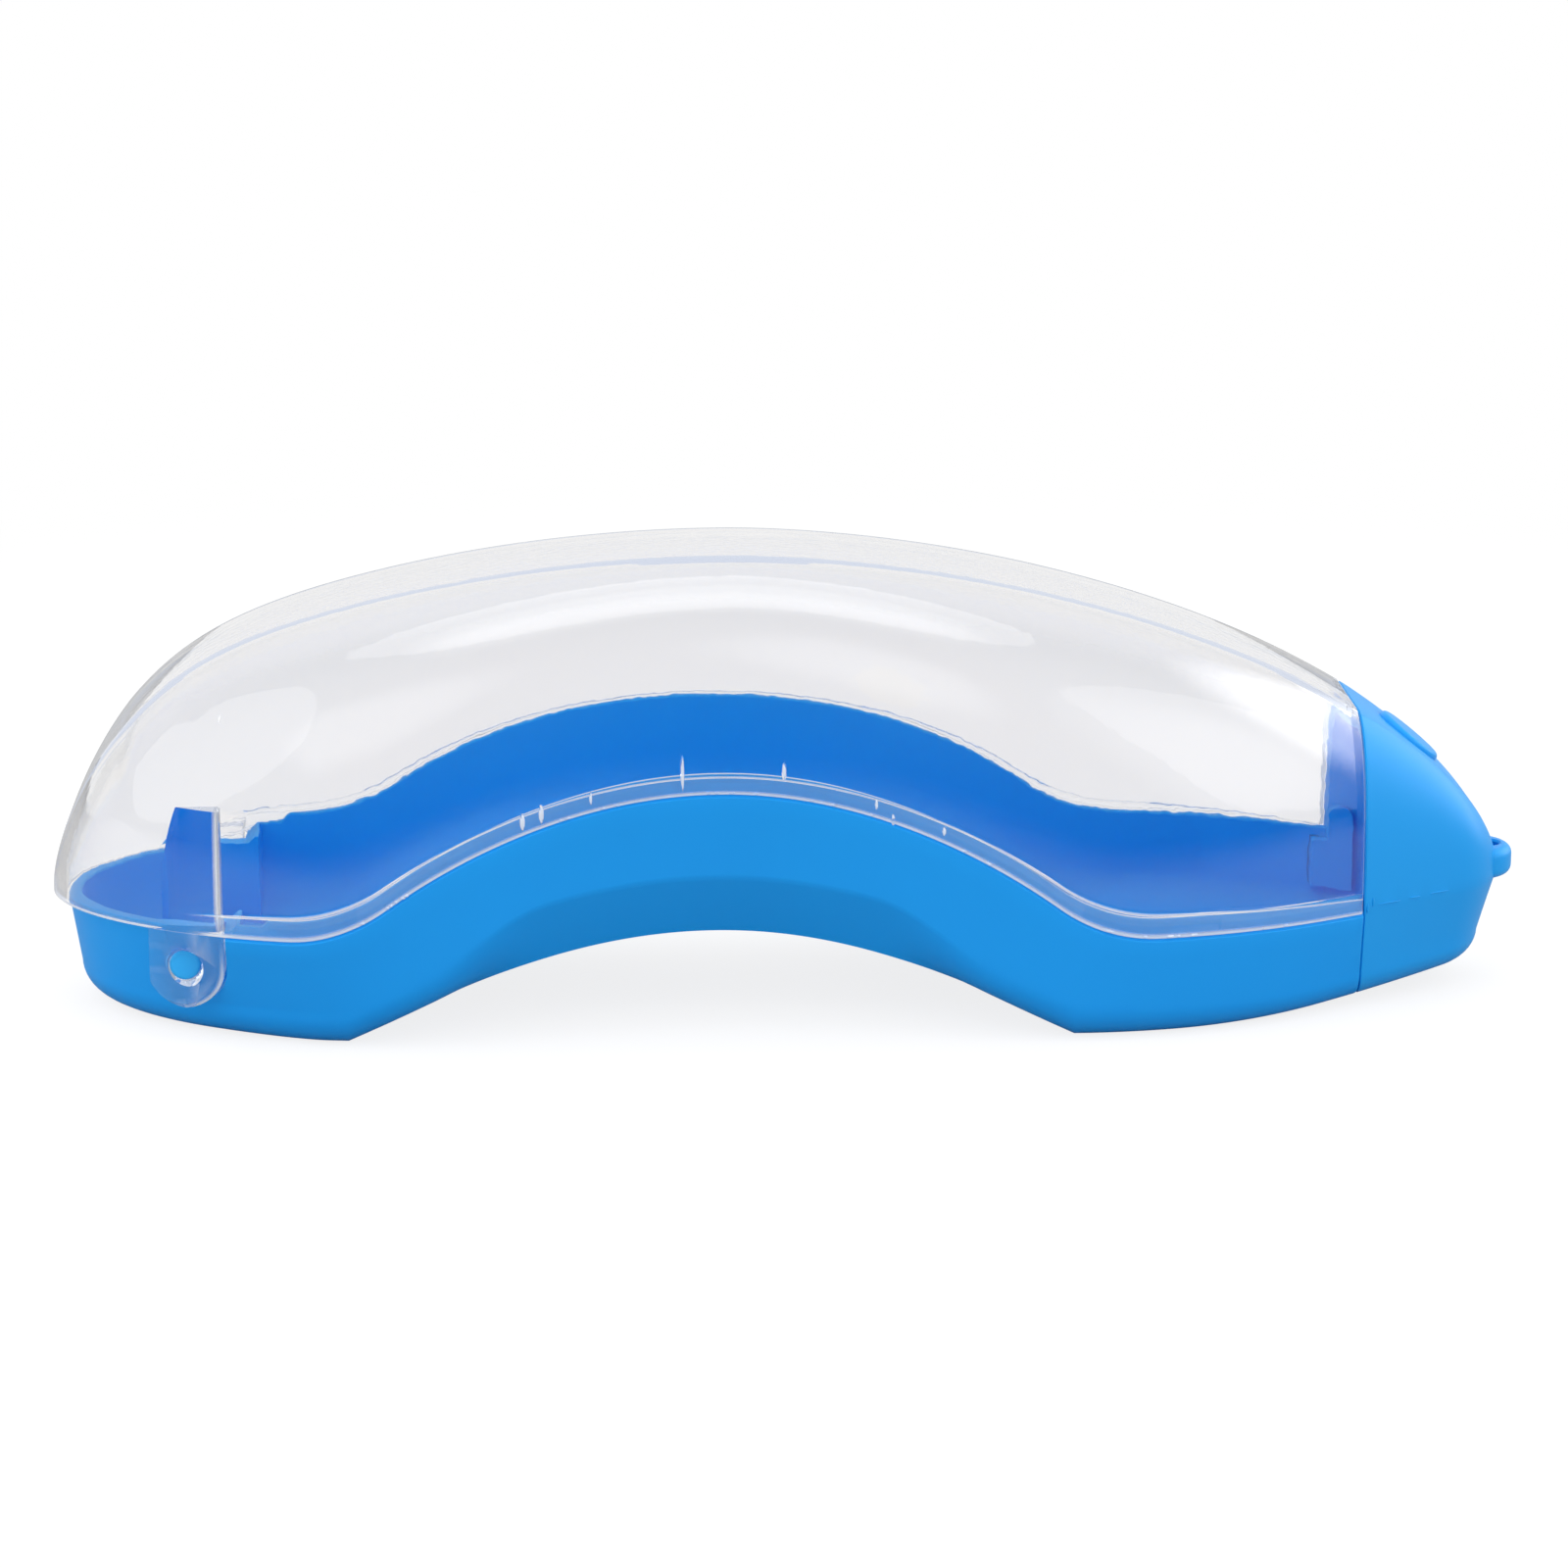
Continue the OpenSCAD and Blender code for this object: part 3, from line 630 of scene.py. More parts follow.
def make_nose(material):
    u = nose_stations()
    base_x, _ = nose_point(u, np.zeros_like(u))
    round_in = seam_inset(base_x)
    rows = []
    edge, foot = along(base_x, BELLY_EDGE), foot_in(base_x)
    for a in arc(10):
        x, y = nose_point(u, foot + edge * (1 - math.sin(a)) + round_in)
        rows.append(np.stack([x, y, belly_z(x) + edge * (1 - math.cos(a)) + round_in], axis=-1))
    for share in (0.3, 0.6, 0.9):
        x, y = nose_point(u, foot * (1 - share) + round_in)
        low = belly_z(x) + edge
        rows.append(np.stack([x, y, low + (PART_Z - low) * share], axis=-1))
    x, y = nose_point(u, round_in)
    rows += dome_rows(x, y, PART_Z, lid_z(x) - top_drop(x, round_in), NOSE_ROWS)
    nose = loft("nose", rows)

    rows = []
    wall = TRAY_WALL + (NOSE_SOLID - TRAY_WALL) * (1 - u)
    to_seam = np.clip((u - TIP_SHARE) / (1 - TIP_SHARE), 0, 1)
    inner_edge = BELLY_EDGE[2] + (INNER_EDGE - BELLY_EDGE[2]) * to_seam
    for a in arc(10):
        x, y = nose_point(u, wall + inner_edge * (1 - math.sin(a)), SEAM_X - PAST)
        low = belly_z(x) + FLOOR_T
        high = rim_z(x) - INNER_DROP[1]
        rows.append(np.stack([x, y, low + (high - low) * (1 - math.cos(a))], axis=-1))
    x, y = nose_point(u, wall, SEAM_X - PAST)
    top = lid_z(x) - top_drop(x, TRAY_WALL)
    rows += [dome(x, y, k / HOLLOW_STEPS, PART_Z, top) for k in range(HOLLOW_STEPS + 1)]
    hollow = loft("nose_hollow", rows)

    # Eye for a cord, with round edges
    reach = EYE_TIP - EYE_HALF
    soft = 1.3
    turns = arc(8)
    profile = [(EYE_HALF - soft * (1 - math.sin(a)), EYE_LOW + soft * (1 - math.cos(a))) for a in turns]
    profile += [(EYE_HALF - soft * (1 - math.cos(a)), EYE_LOW + EYE_T - soft * (1 - math.sin(a)))
                for a in turns]
    eye = lathe("eye", profile, (reach, 0, 0), 2)
    root = NOSE_REACH - NOSE_SOLID / 2
    keep(eye, extrude("eye_end", rectangle(root, root + FAR, -FAR, FAR), 0, FAR))
    add(nose, eye)
    # Round pad for the thumb on the slope of the nose
    place = np.array(float(THUMB_X))
    slope = math.atan(float(lid_slope(place)))
    pad = [(THUMB_R, -TRAY_WALL / 2)]
    pad += [(THUMB_R - THUMB_UP * (1 - math.cos(a)), THUMB_UP * math.sin(a)) for a in arc(6)]
    thumb = lathe("thumb", pad, (0, 0, 0), 2)
    thumb.data.transform(Matrix.Translation((THUMB_X, 0, float(lid_z(place))))
                         @ Matrix.Rotation(slope, 4, "Y"))
    add(nose, thumb)
    cut(nose, hollow)
    # Hole of the eye, free above and below the nose
    slot = EYE_R + GAP
    mouth = 0.3
    bore = [(EYE_R + mouth, EYE_LOW - 0.01), (EYE_R, EYE_LOW + mouth), (EYE_R, EYE_LOW + EYE_T - mouth),
            (EYE_R + mouth, EYE_LOW + EYE_T + 0.01)]
    cut(nose, lathe("bore", bore, (EYE_X, 0, 0), 2))
    square = rectangle(EYE_X - slot, EYE_X + FAR, -slot, slot)
    cut(nose, extrude("slot_above", square, EYE_LOW + EYE_T, EYE_LOW + EYE_T + 2 * slot))
    cut(nose, extrude("slot_below", square, EYE_LOW - slot, EYE_LOW))
    for side in (1, -1):
        add(nose, make_fin(side))
    # Flash along the mould's parting line, and the small mark of a gate beside the seam
    marks = []
    for share, length, height in NOSE_MARKS:
        x, y = nose_point(np.array(share), np.array(0.0))
        marks.append(((float(x), -float(y), height), (length, FLASH_T, FLASH_T), TAPER))
    x, y = nose_point(np.array(GATE_SHARE), np.array(0.0))
    for step in GATE_STEPS:
        spot = (float(x) + step, -float(y) + math.tan(TAPER) * step, PART_Z + step)
        marks.append((spot, GATE_SIZE, TAPER))
    add(nose, make_beads("nose_marks", marks))
    finish_piece(nose, material, "case", ["nose_cap"])


def make_fin(side):
    """Blade that guides the lid's end, with a snap hook and a foot on the nose."""
    hook_end, fin_end = SEAM_X - FIN_RUN, SEAM_X + FIN_ROOT
    # The foot starts just past the seam, and the hook reaches a little into the blade
    blade = strip(hook_end, fin_end, FIN_OUT, FIN_OUT + FIN_T)
    foot = strip(SEAM_X + 0.01, fin_end, FIN_T, FIN_OUT + FIN_T)
    hook = strip(hook_end, hook_end + HOOK_RUN, FIN_OUT - HOOK, FIN_OUT + 0.05)
    shapes = [shape if side == 1 else mirror(shape) for shape in (blade, foot, hook)]
    fin = extrude("fin", shapes[0], 0, FAR)
    add(fin, extrude("foot", shapes[1], 0, FAR))
    # The tab's upper corner and the rib's top are round
    tab, top, middle = 0.9, (fin_end - SEAM_X) / 2, (SEAM_X + fin_end) / 2
    outline = [(fin_end, FIN_LOW), (hook_end, FIN_LOW)]
    outline += [(hook_end + tab * (1 - math.cos(a)), HOOK_HIGH - tab * (1 - math.sin(a))) for a in arc(6)]
    outline += [(SEAM_X, HOOK_HIGH)]
    outline += [(middle - top * math.cos(a), FIN_HIGH - top * (1 - math.sin(a))) for a in arc(8)]
    outline += [(middle + top * math.sin(a), FIN_HIGH - top * (1 - math.cos(a))) for a in arc(8)[1:]]
    keep(fin, extrude("fin_outline", outline, *sorted((0, side * FAR)), upright=True))
    add(fin, extrude("hook", shapes[2], FIN_LOW, HOOK_HIGH))
    return fin


# Lid

def skirt_share(x):
    """0 at the hinge end, where the lid's full wall goes down, and 1 where the thin skirt laps the rim."""
    return ease(x, HINGE_X, HINGE_X + EAR_R - GAP)


def skirt_in(x):
    """Thickness of the skirt."""
    full = LID_WALL - 0.05
    return full - (full - SKIRT_WALL) * skirt_share(x)


def shoulder_z(x):
    """Height at which the skirt widens to the lid's full wall."""
    least = 0.1
    return rim_z(x) - SKIRT + least + (SKIRT + GAP - least) * skirt_share(x)


# Moulding nicks on the front of the skirt: place along the case, height of the middle over the rim, width and
# length, and for all of them thickness and depth of the middle in the wall
NICKS = [(-15.1, 0.7, 0.6, 5.2), (-1.6, 1.2, 0.7, 2.7), (-27.3, -0.4, 0.5, 1.9), (-36.4, -0.5, 0.8, 2.6),
         (-33.9, -0.4, 0.8, 2.8), (10.6, -0.5, 0.5, 1.6), (12.8, -1.8, 0.6, 1.7), (19.5, -0.7, 0.6, 1.4)]
NICK_T = 0.8
NICK_IN = 0.1
# Small ones along its foot: how many, and the run of the case that they lie on
SMALL_NICKS = 30
NICK_RUN = (-60, 66)


def nick_beads():
    rng = np.random.default_rng(5)
    small = [(x, 0.3 - SKIRT, 0.5 + 0.5 * rng.random(), 0.5) for x in rng.uniform(*NICK_RUN, SMALL_NICKS)]
    beads = []
    for x, above, width, length in NICKS + small:
        place = np.array(float(x))
        height = float(rim_z(place)) + above
        beads.append(((x, NICK_IN - float(half_width(place)), height), (width, NICK_T, length), 0.0))
    return beads


def ear_outline(inset):
    """Ear in the side view, set in: a half circle below the axis and straight sides up to the hood."""
    radius = EAR_R - inset
    top = LID_EDGE + LID_WALL
    return half_circle(radius) + [(HINGE_X + radius, top), (HINGE_X - radius, top)]


# Fine ridge level with the rim and flash bead along the foot: share of the way up to the next row, and how far
# it stands out
SKIRT_RELIEF = ((0.94, 0), (0.9, 0.09), (0.86, 0.09), (0.82, 0),
                (0.22, 0), (0.17, 0.1), (0.12, 0.1), (0.1, 0))
# Rounding of the skirt's lower edge outside and inside, of the ears' rims, and bevel of the pads
SKIRT_SOFT = 0.12
INNER_SOFT = 0.08
EAR_SOFT = 0.8
PAD_SOFT = 0.15
# Painted highlights, a matt white, on the skirt at shares of the way up it, and on the ears' rims at shares of
# their rounding from the wall out, then the least share of that on the upper left, as the highlight lies on
# the lower right
SKIRT_HIGHLIGHT = ((0, 0.1, 0.13, 0.2, 0.82, 0.86, 0.9, 0.94), (0.7, 0.7, 0.5, 0.08, 0.08, 0.5, 0.5, 0))
EAR_HIGHLIGHT = ((0, 0.31, 0.59, 0.81, 0.95, 1), (0.5, 1, 1, 0.8, 0.3, 0))
EAR_LEAST = 0.3
END_HIGHLIGHT = 0.5
NICK_HIGHLIGHT = 0.8
# A nick is what stands out further than this above this share of the skirt
NICK_OUT = 0.14
NICK_LOW = 0.25
# Share of the painted highlight that the skirt and its nicks keep on the rear half, and tolerance in finding
# the places
REAR_HIGHLIGHT = 0.25
NEAR = 0.01


def paint_edge_highlights(lid, u, next_up):
    """Paints highlights as a matt white on the lid's edges: skirt's ridge, foot and nicks, ears' rims, front
    pad's edge, end.
    """
    mesh = lid.data
    spots = np.empty(3 * len(mesh.vertices))
    mesh.vertices.foreach_get("co", spots)
    x, y, z = spots.reshape(-1, 3).T
    side_x, side_y = body_point(u, np.zeros_like(u))
    share = (z - rim_z(x) + SKIRT) / np.interp(x, side_x, next_up)
    outside = np.abs(y) > np.interp(x, side_x, side_y) - SKIRT_WALL / 2
    painted_highlight = np.interp(share, *SKIRT_HIGHLIGHT) * outside * skirt_share(x)
    proud = np.abs(y) - np.interp(x, side_x, side_y)
    nick = (proud > NICK_OUT) & (skirt_share(x) == 1) & (share > NICK_LOW)
    painted_highlight = np.where(nick, NICK_HIGHLIGHT, painted_highlight) * np.where(y < 0, 1, REAR_HIGHLIGHT)
    # Round rims of the ears, without the face that follows the body's plan
    right, down = (x - HINGE_X) / EAR_R, (HINGE_Z - z) / EAR_R
    rim = (np.hypot(right, np.maximum(down, 0)) > 1 - EAR_SOFT / EAR_R - NEAR) & (z < LID_EDGE + 0.1)
    rounding = (np.abs(y) - EAR_OUT + EAR_SOFT) / EAR_SOFT
    to_right = np.clip((right + down + 1) / 2, 0, 1)
    ear = np.interp(rounding, *EAR_HIGHLIGHT, left=0) * (EAR_LEAST + (1 - EAR_LEAST) * to_right)
    plan_x, plan_y = body_point(u, np.full_like(u, GAP))
    round_rim = rim & (np.abs(right) < 1 + NEAR) & (np.abs(y) < np.interp(x, plan_x, plan_y) - 2 * NEAR)
    painted_highlight = np.where(round_rim, ear, painted_highlight)
    edge = ((np.abs(x - HINGE_X - EAR_R + PAD_SOFT / 2) < PAD_SOFT)
            & (np.abs(y + EAR_IN + PAD_SOFT / 2) < PAD_SOFT))
    painted_highlight = np.where(edge & (z > LID_EDGE), 1.0, painted_highlight)
    painted_highlight = np.where(x > SEAM_X - GAP - NEAR, END_HIGHLIGHT, painted_highlight)
    # Share of painted highlight at each point, which the lid's material reads
    mesh.attributes.new("painted_highlight", "FLOAT", "POINT").data.foreach_set("value", painted_highlight)


def make_lid(material):
    u = body_stations(SEAM_X - GAP)
    base_x, _ = body_point(u, np.zeros_like(u))
    x, y = body_point(u, np.zeros_like(u))
    low = rim_z(x) - SKIRT
    rows = dome_rows(x, y, low, lid_z(x), LID_ROWS)[:0:-1]
    next_up = rows[-1][:, 2] - low
    share = skirt_share(base_x)
    for up, proud in SKIRT_RELIEF:
        x, y = body_point(u, -proud * share)
        rows.append(np.stack([x, y, low + next_up * up], axis=-1))
    for a in arc(5):
        x, y = body_point(u, np.full_like(u, SKIRT_SOFT * (1 - math.cos(a))))
        rows.append(np.stack([x, y, low + SKIRT_SOFT * (1 - math.sin(a))], axis=-1))
    inside = skirt_in(base_x)
    for inset, height in ((inside - INNER_SOFT, low), (inside, low + INNER_SOFT),
                          (inside, shoulder_z(base_x))):
        x, y = body_point(u, inset)
        rows.append(np.stack([x, y, height], axis=-1))
    x, y = body_point(u, np.full_like(u, LID_WALL))
    rows += dome_rows(x, y, shoulder_z(x), lid_z(x) - top_drop(x, LID_WALL), LID_ROWS)
    lid = loft("lid", rows)

    # The ears stay within the body's plan, and the pads just under the dome's surface
    outline_x, outline_y = body_point(u, np.full_like(u, GAP))
    half = list(zip(outline_x.tolist(), outline_y.tolist()))
    plan = half + mirror(half[:0:-1])
    under = 0.1
    shell = [dome(*body_point(u, np.full_like(u, under)), share, low, lid_z(base_x) - under)
             for share in np.linspace(0, 1, LID_ROWS)]
    insets = [0] + [EAR_SOFT * (1 - math.cos(a)) for a in arc(5)]
    places = [EAR_IN] + [EAR_OUT - EAR_SOFT * (1 - math.sin(a)) for a in arc(5)]
    for side in (1, -1):
        ear = layers("ear", [ear_outline(inset) for inset in insets], [side * y for y in places], True)
        keep(ear, extrude("outline", plan, 0, FAR))
        # Pad above the ear, flat on the inside up to where the dome meets it. Its bevelled edge is eased
        # over the last 0.7 mm inside and 0.5 mm of the end
        right, left = HINGE_X + EAR_R, HINGE_X - EAR_R
        plan_pad = [(left, side * EAR_IN), (right - 0.7, side * EAR_IN),
                    (right - PAD_SOFT, side * (EAR_IN + 0.03)), (right - 0.03, side * (EAR_IN + PAD_SOFT)),
                    (right, side * (EAR_IN + 0.5)), (right, side * FAR), (left, side * FAR)]
        pad = extrude("pad", plan_pad, LID_EDGE + 0.2, FLAT_TOP if side == -1 else REAR_FLAT_TOP)
        keep(pad, loft("solid", shell))
        add(lid, pad)
        add(lid, ear)
        # Bore with a wider mouth outside, whose edge is eased
        bore = [(PIN_R + PIN_GAP, side * (EAR_IN - PAST)), (PIN_R + PIN_GAP, side * (EAR_OUT - MOUTH_T)),
                (PIN_R + EAR_MOUTH - 0.2, side * (EAR_OUT - 0.1)), (PIN_R + EAR_MOUTH, side * EAR_OUT),
                (PIN_R + EAR_MOUTH, side * (EAR_OUT + PAST))]
        cut(lid, lathe("bore", bore, (HINGE_X, 0, HINGE_Z), 1))
    add(lid, make_beads("nicks", nick_beads()))
    # Painted highlights on the lid's edges
    paint_edge_highlights(lid, u, next_up)
    finish_piece(lid, material, "lid", ["clear_lid"])


def make_pin(name, side, material, node_name):
    """Hinge pin with a rounded free end."""
    soft = 0.5
    tip = POCKET_IN + PIN_OUT
    profile = [(PIN_R, side * (POCKET_IN - PIN_IN + 2 * PRESS_GAP))]
    profile += [(PIN_R - soft * (1 - math.cos(a)), side * (tip - soft * (1 - math.sin(a)))) for a in arc(6)]
    pin = lathe(name, profile, (HINGE_X, 0, HINGE_Z), 1)
    finish_piece(pin, material, "case", [node_name])


# Materials

def linear(hex_colour):
    channels = [int(hex_colour[i:i + 2], 16) / 255 for i in (1, 3, 5)]
    return [c / 12.92 if c <= 0.04045 else ((c + 0.055) / 1.055) ** 2.4 for c in channels] + [1]


def new_material(name):
    material = bpy.data.materials.new(name)
    material.use_nodes = True
    tree = material.node_tree
    shader = tree.nodes["Principled BSDF"]
    return material, tree, shader


def node(tree, kind, settings=None, **links):
    """Adds a node with its settings and the sockets or values that feed it."""
    made = tree.nodes.new(kind)
    for key, value in (settings or {}).items():
        setattr(made, key, value)
    for key, value in links.items():
        socket = made.inputs[key.replace("_", " ")] if not key[1:].isdigit() else made.inputs[int(key[1:])]
        if isinstance(value, bpy.types.NodeSocket):
            tree.links.new(value, socket)
        else:
            socket.default_value = value
    return made


def lump_scale(size):
    """Scale of a noise whose lumps have this size in millimetres."""
    return 1 / (size * MM)


def blue_polypropylene(name, colour, deep, roughness):
    """Injection moulded polypropylene: satin, with the fine spark-eroded grain of its mould."""
    material, tree, shader = new_material(name)
    place = node(tree, "ShaderNodeTexCoord").outputs["Object"]
    # Slight clouding of the pigment over some 25 mm, as the melt flows into the mould
    cloud = node(tree, "ShaderNodeTexNoise", Vector=place, Scale=lump_scale(25), Detail=3.0, Roughness=0.5)
    tone = node(tree, "ShaderNodeMix", {"data_type": "RGBA"}, _0=cloud.outputs["Fac"], _6=linear(deep),
                _7=linear(colour))
    tree.links.new(tone.outputs[2], shader.inputs["Base Color"])
    # Grain of about 0.25 mm, a little coarser than the real one so that it shows
    grain = node(tree, "ShaderNodeTexNoise", Vector=place, Scale=lump_scale(0.25), Detail=2.0, Roughness=0.6)
    bump = node(tree, "ShaderNodeBump", Height=grain.outputs["Fac"], Strength=0.12, Distance=0.00004)
    tree.links.new(bump.outputs["Normal"], shader.inputs["Normal"])
    shader.inputs["Roughness"].default_value = roughness
    shader.inputs["IOR"].default_value = 1.49
    shader.inputs["Specular IOR Level"].default_value = 0.3
    shader.inputs["Subsurface Weight"].default_value = 0.08
    shader.inputs["Subsurface Radius"].default_value = (0.4, 0.7, 1.0)
    shader.inputs["Subsurface Scale"].default_value = 0.0015
    return material


def clear_polystyrene(name):
    """Clear polystyrene from a polished mould: glass-like, and it lets lamps through to the tray."""
    material, tree, shader = new_material(name)
    place = node(tree, "ShaderNodeTexCoord").outputs["Object"]
    # Faint waves of some 16 mm, as the wall sinks a little while it cools
    wave = node(tree, "ShaderNodeTexNoise", Vector=place, Scale=lump_scale(16), Detail=1.0, Roughness=0.4)
    bump = node(tree, "ShaderNodeBump", Height=wave.outputs["Fac"], Strength=0.1, Distance=0.0002)
    # Ripples of some 2 mm, which make the far rim look ragged through the wall
    ripple = node(tree, "ShaderNodeTexNoise", Vector=place, Scale=lump_scale(2), Detail=1.0, Roughness=0.5)
    finer = node(tree, "ShaderNodeBump", Height=ripple.outputs["Fac"], Strength=0.1, Distance=0.0001,
                 Normal=bump.outputs["Normal"])
    tree.links.new(finer.outputs["Normal"], shader.inputs["Normal"])
    shader.inputs["Base Color"].default_value = linear("#faf9f8")
    shader.inputs["Transmission Weight"].default_value = 1.0
    shader.inputs["Roughness"].default_value = 0.03
    shader.inputs["IOR"].default_value = 1.57
    clear = node(tree, "ShaderNodeBsdfTransparent", Color=linear("#fafafb"))
    path = node(tree, "ShaderNodeLightPath")
    # Painted glow at the edges and creases: rays past five bounces inside the wall get a fixed emission
    painted_glow_rays = node(tree, "ShaderNodeMath", {"operation": "GREATER_THAN"}, _0=path.outputs["Ray Depth"], _1=5.5)
    # Its colour is a little blue, like the tray, standing in for light led along inside the wall
    glow = node(tree, "ShaderNodeEmission", Color=linear("#d3dcee"), Strength=1.0)
    # Painted highlights: a matt white mixed in on the edges that the mesh marks
    painted_highlight = node(tree, "ShaderNodeAttribute", {"attribute_name": "painted_highlight"}).outputs["Fac"]
    highlight_white = node(tree, "ShaderNodeBsdfDiffuse", Color=linear("#f2f5fa"))
    wall = node(tree, "ShaderNodeMixShader", _0=painted_highlight, _1=shader.outputs["BSDF"], _2=highlight_white.outputs["BSDF"])
    body = node(tree, "ShaderNodeMixShader", _0=painted_glow_rays.outputs[0], _1=wall.outputs["Shader"],
                _2=glow.outputs["Emission"])
    mix = node(tree, "ShaderNodeMixShader", _0=path.outputs["Is Shadow Ray"], _1=body.outputs["Shader"],
               _2=clear.outputs["BSDF"])
    tree.links.new(mix.outputs["Shader"], tree.nodes["Material Output"].inputs["Surface"])
    return material


# Studio

# Strength of the room's light on the object, and of the dim room in front in reflections
ROOM_LIGHT = 0.87
ROOM_LEVEL = 0.05
# How much light the floor sends back to the object, and how much of its own light and shadow the camera sees
FLOOR_TONE = 0.42
SHADOW_SHARE = 0.2
# In metres: the floor's half size, where its shadow fades to white, and where it ends in reflections
FLOOR_HALF = 6
FADE_RUN = (0.13, 0.35)
SHEET_END = (-0.09, -0.18)
# Soft boxes as glossy surfaces see them: degrees to the right of the camera, degrees up, spread and strength,
# then the share of the spread that has full strength
SOFT_BOXES = [(-15, 30, 22, 0.7), (48, 22, 32, 0.7), (0, 82, 18, 1.4), (108, 23, 38, 3.8)]
BOX_CORE = 0.3
# Lamps, which all point at the case's middle: place, diameter, power
LAMP_TARGET = (0, 0, 0.03)
LAMPS = {"key": ((-1.1, -0.5, 0.7), 1.6, 7.2), "fill": ((1.1, -0.6, 0.6), 1.6, 6.2),
         "top": ((0, 0.1, 1.1), 0.9, 2.8)}


def see_through(tree, path):
    """1 for what the camera sees, straight or through clear plastic, but 0 after a single mirroring."""
    seen = node(tree, "ShaderNodeMath", {"operation": "MAXIMUM"}, _0=path.outputs["Is Camera Ray"],
                _1=path.outputs["Is Transmission Ray"])
    once = node(tree, "ShaderNodeMath", {"operation": "COMPARE"}, _0=path.outputs["Glossy Depth"],
                _1=1.0, _2=0.5)
    other = node(tree, "ShaderNodeMath", {"operation": "SUBTRACT"}, _0=1.0, _1=once.outputs[0])
    both = node(tree, "ShaderNodeMath", {"operation": "MULTIPLY"}, _0=seen.outputs[0], _1=other.outputs[0])
    return both.outputs[0]


def make_floor():
    """White sheet that gives back light and keeps a faint shadow under the case."""
    mesh = bpy.data.meshes.new("floor")
    corners = rectangle(-FLOOR_HALF, FLOOR_HALF, -FLOOR_HALF, FLOOR_HALF)
    mesh.from_pydata([(x, y, 0) for x, y in corners], [], [(0, 1, 2, 3)])
    floor = bpy.data.objects.new("floor", mesh)
    bpy.context.scene.collection.objects.link(floor)
    material, tree, shader = new_material("white_sweep")
    shader.inputs["Roughness"].default_value = 0.9
    shader.inputs["Specular IOR Level"].default_value = 0.0
    # Cameras see it white, with a share of the object's shadow close by
    place = node(tree, "ShaderNodeTexCoord").outputs["Object"]
    away = node(tree, "ShaderNodeVectorMath", {"operation": "LENGTH"}, _0=place).outputs["Value"]
    path = node(tree, "ShaderNodeLightPath")
    seen = see_through(tree, path)
    body = node(tree, "ShaderNodeMapRange", Value=seen, To_Min=FLOOR_TONE, To_Max=SHADOW_SHARE)
    tree.links.new(body.outputs[0], shader.inputs["Base Color"])
    lift = node(tree, "ShaderNodeMapRange", Value=seen, To_Min=0.0, To_Max=1 - 0.9 * SHADOW_SHARE)
    glow = node(tree, "ShaderNodeEmission", Color=(1, 1, 1, 1), Strength=lift.outputs[0])
    near = node(tree, "ShaderNodeAddShader", _0=shader.outputs["BSDF"], _1=glow.outputs["Emission"])
    white = node(tree, "ShaderNodeEmission", Color=(1, 1, 1, 1), Strength=1.0)
    fade = node(tree, "ShaderNodeMapRange", {"interpolation_type": "SMOOTHSTEP"}, Value=away,
                From_Min=FADE_RUN[0], From_Max=FADE_RUN[1])
    share = node(tree, "ShaderNodeMath", {"operation": "MULTIPLY"}, _0=seen, _1=fade.outputs[0])
    plain = node(tree, "ShaderNodeMixShader", _0=share.outputs[0], _1=near.outputs["Shader"],
                 _2=white.outputs["Emission"])
    # In reflections the sheet ends in front of the object, and the dim room starts
    front = node(tree, "ShaderNodeSeparateXYZ", Vector=place)
    past = node(tree, "ShaderNodeMapRange", {"interpolation_type": "SMOOTHSTEP"}, Value=front.outputs["Y"],
                From_Min=SHEET_END[0], From_Max=SHEET_END[1])
    mirrored = node(tree, "ShaderNodeMath", {"operation": "SUBTRACT", "use_clamp": True},
                    _0=path.outputs["Is Glossy Ray"], _1=seen)
    dim = node(tree, "ShaderNodeMath", {"operation": "MULTIPLY"}, _0=mirrored.outputs[0], _1=past.outputs[0])
    room = node(tree, "ShaderNodeEmission", Color=(1, 1, 1, 1), Strength=ROOM_LEVEL)
    both = node(tree, "ShaderNodeMixShader", _0=dim.outputs[0], _1=plain.outputs["Shader"],
                _2=room.outputs["Emission"])
    tree.links.new(both.outputs["Shader"], tree.nodes["Material Output"].inputs["Surface"])
    mesh.materials.append(material)


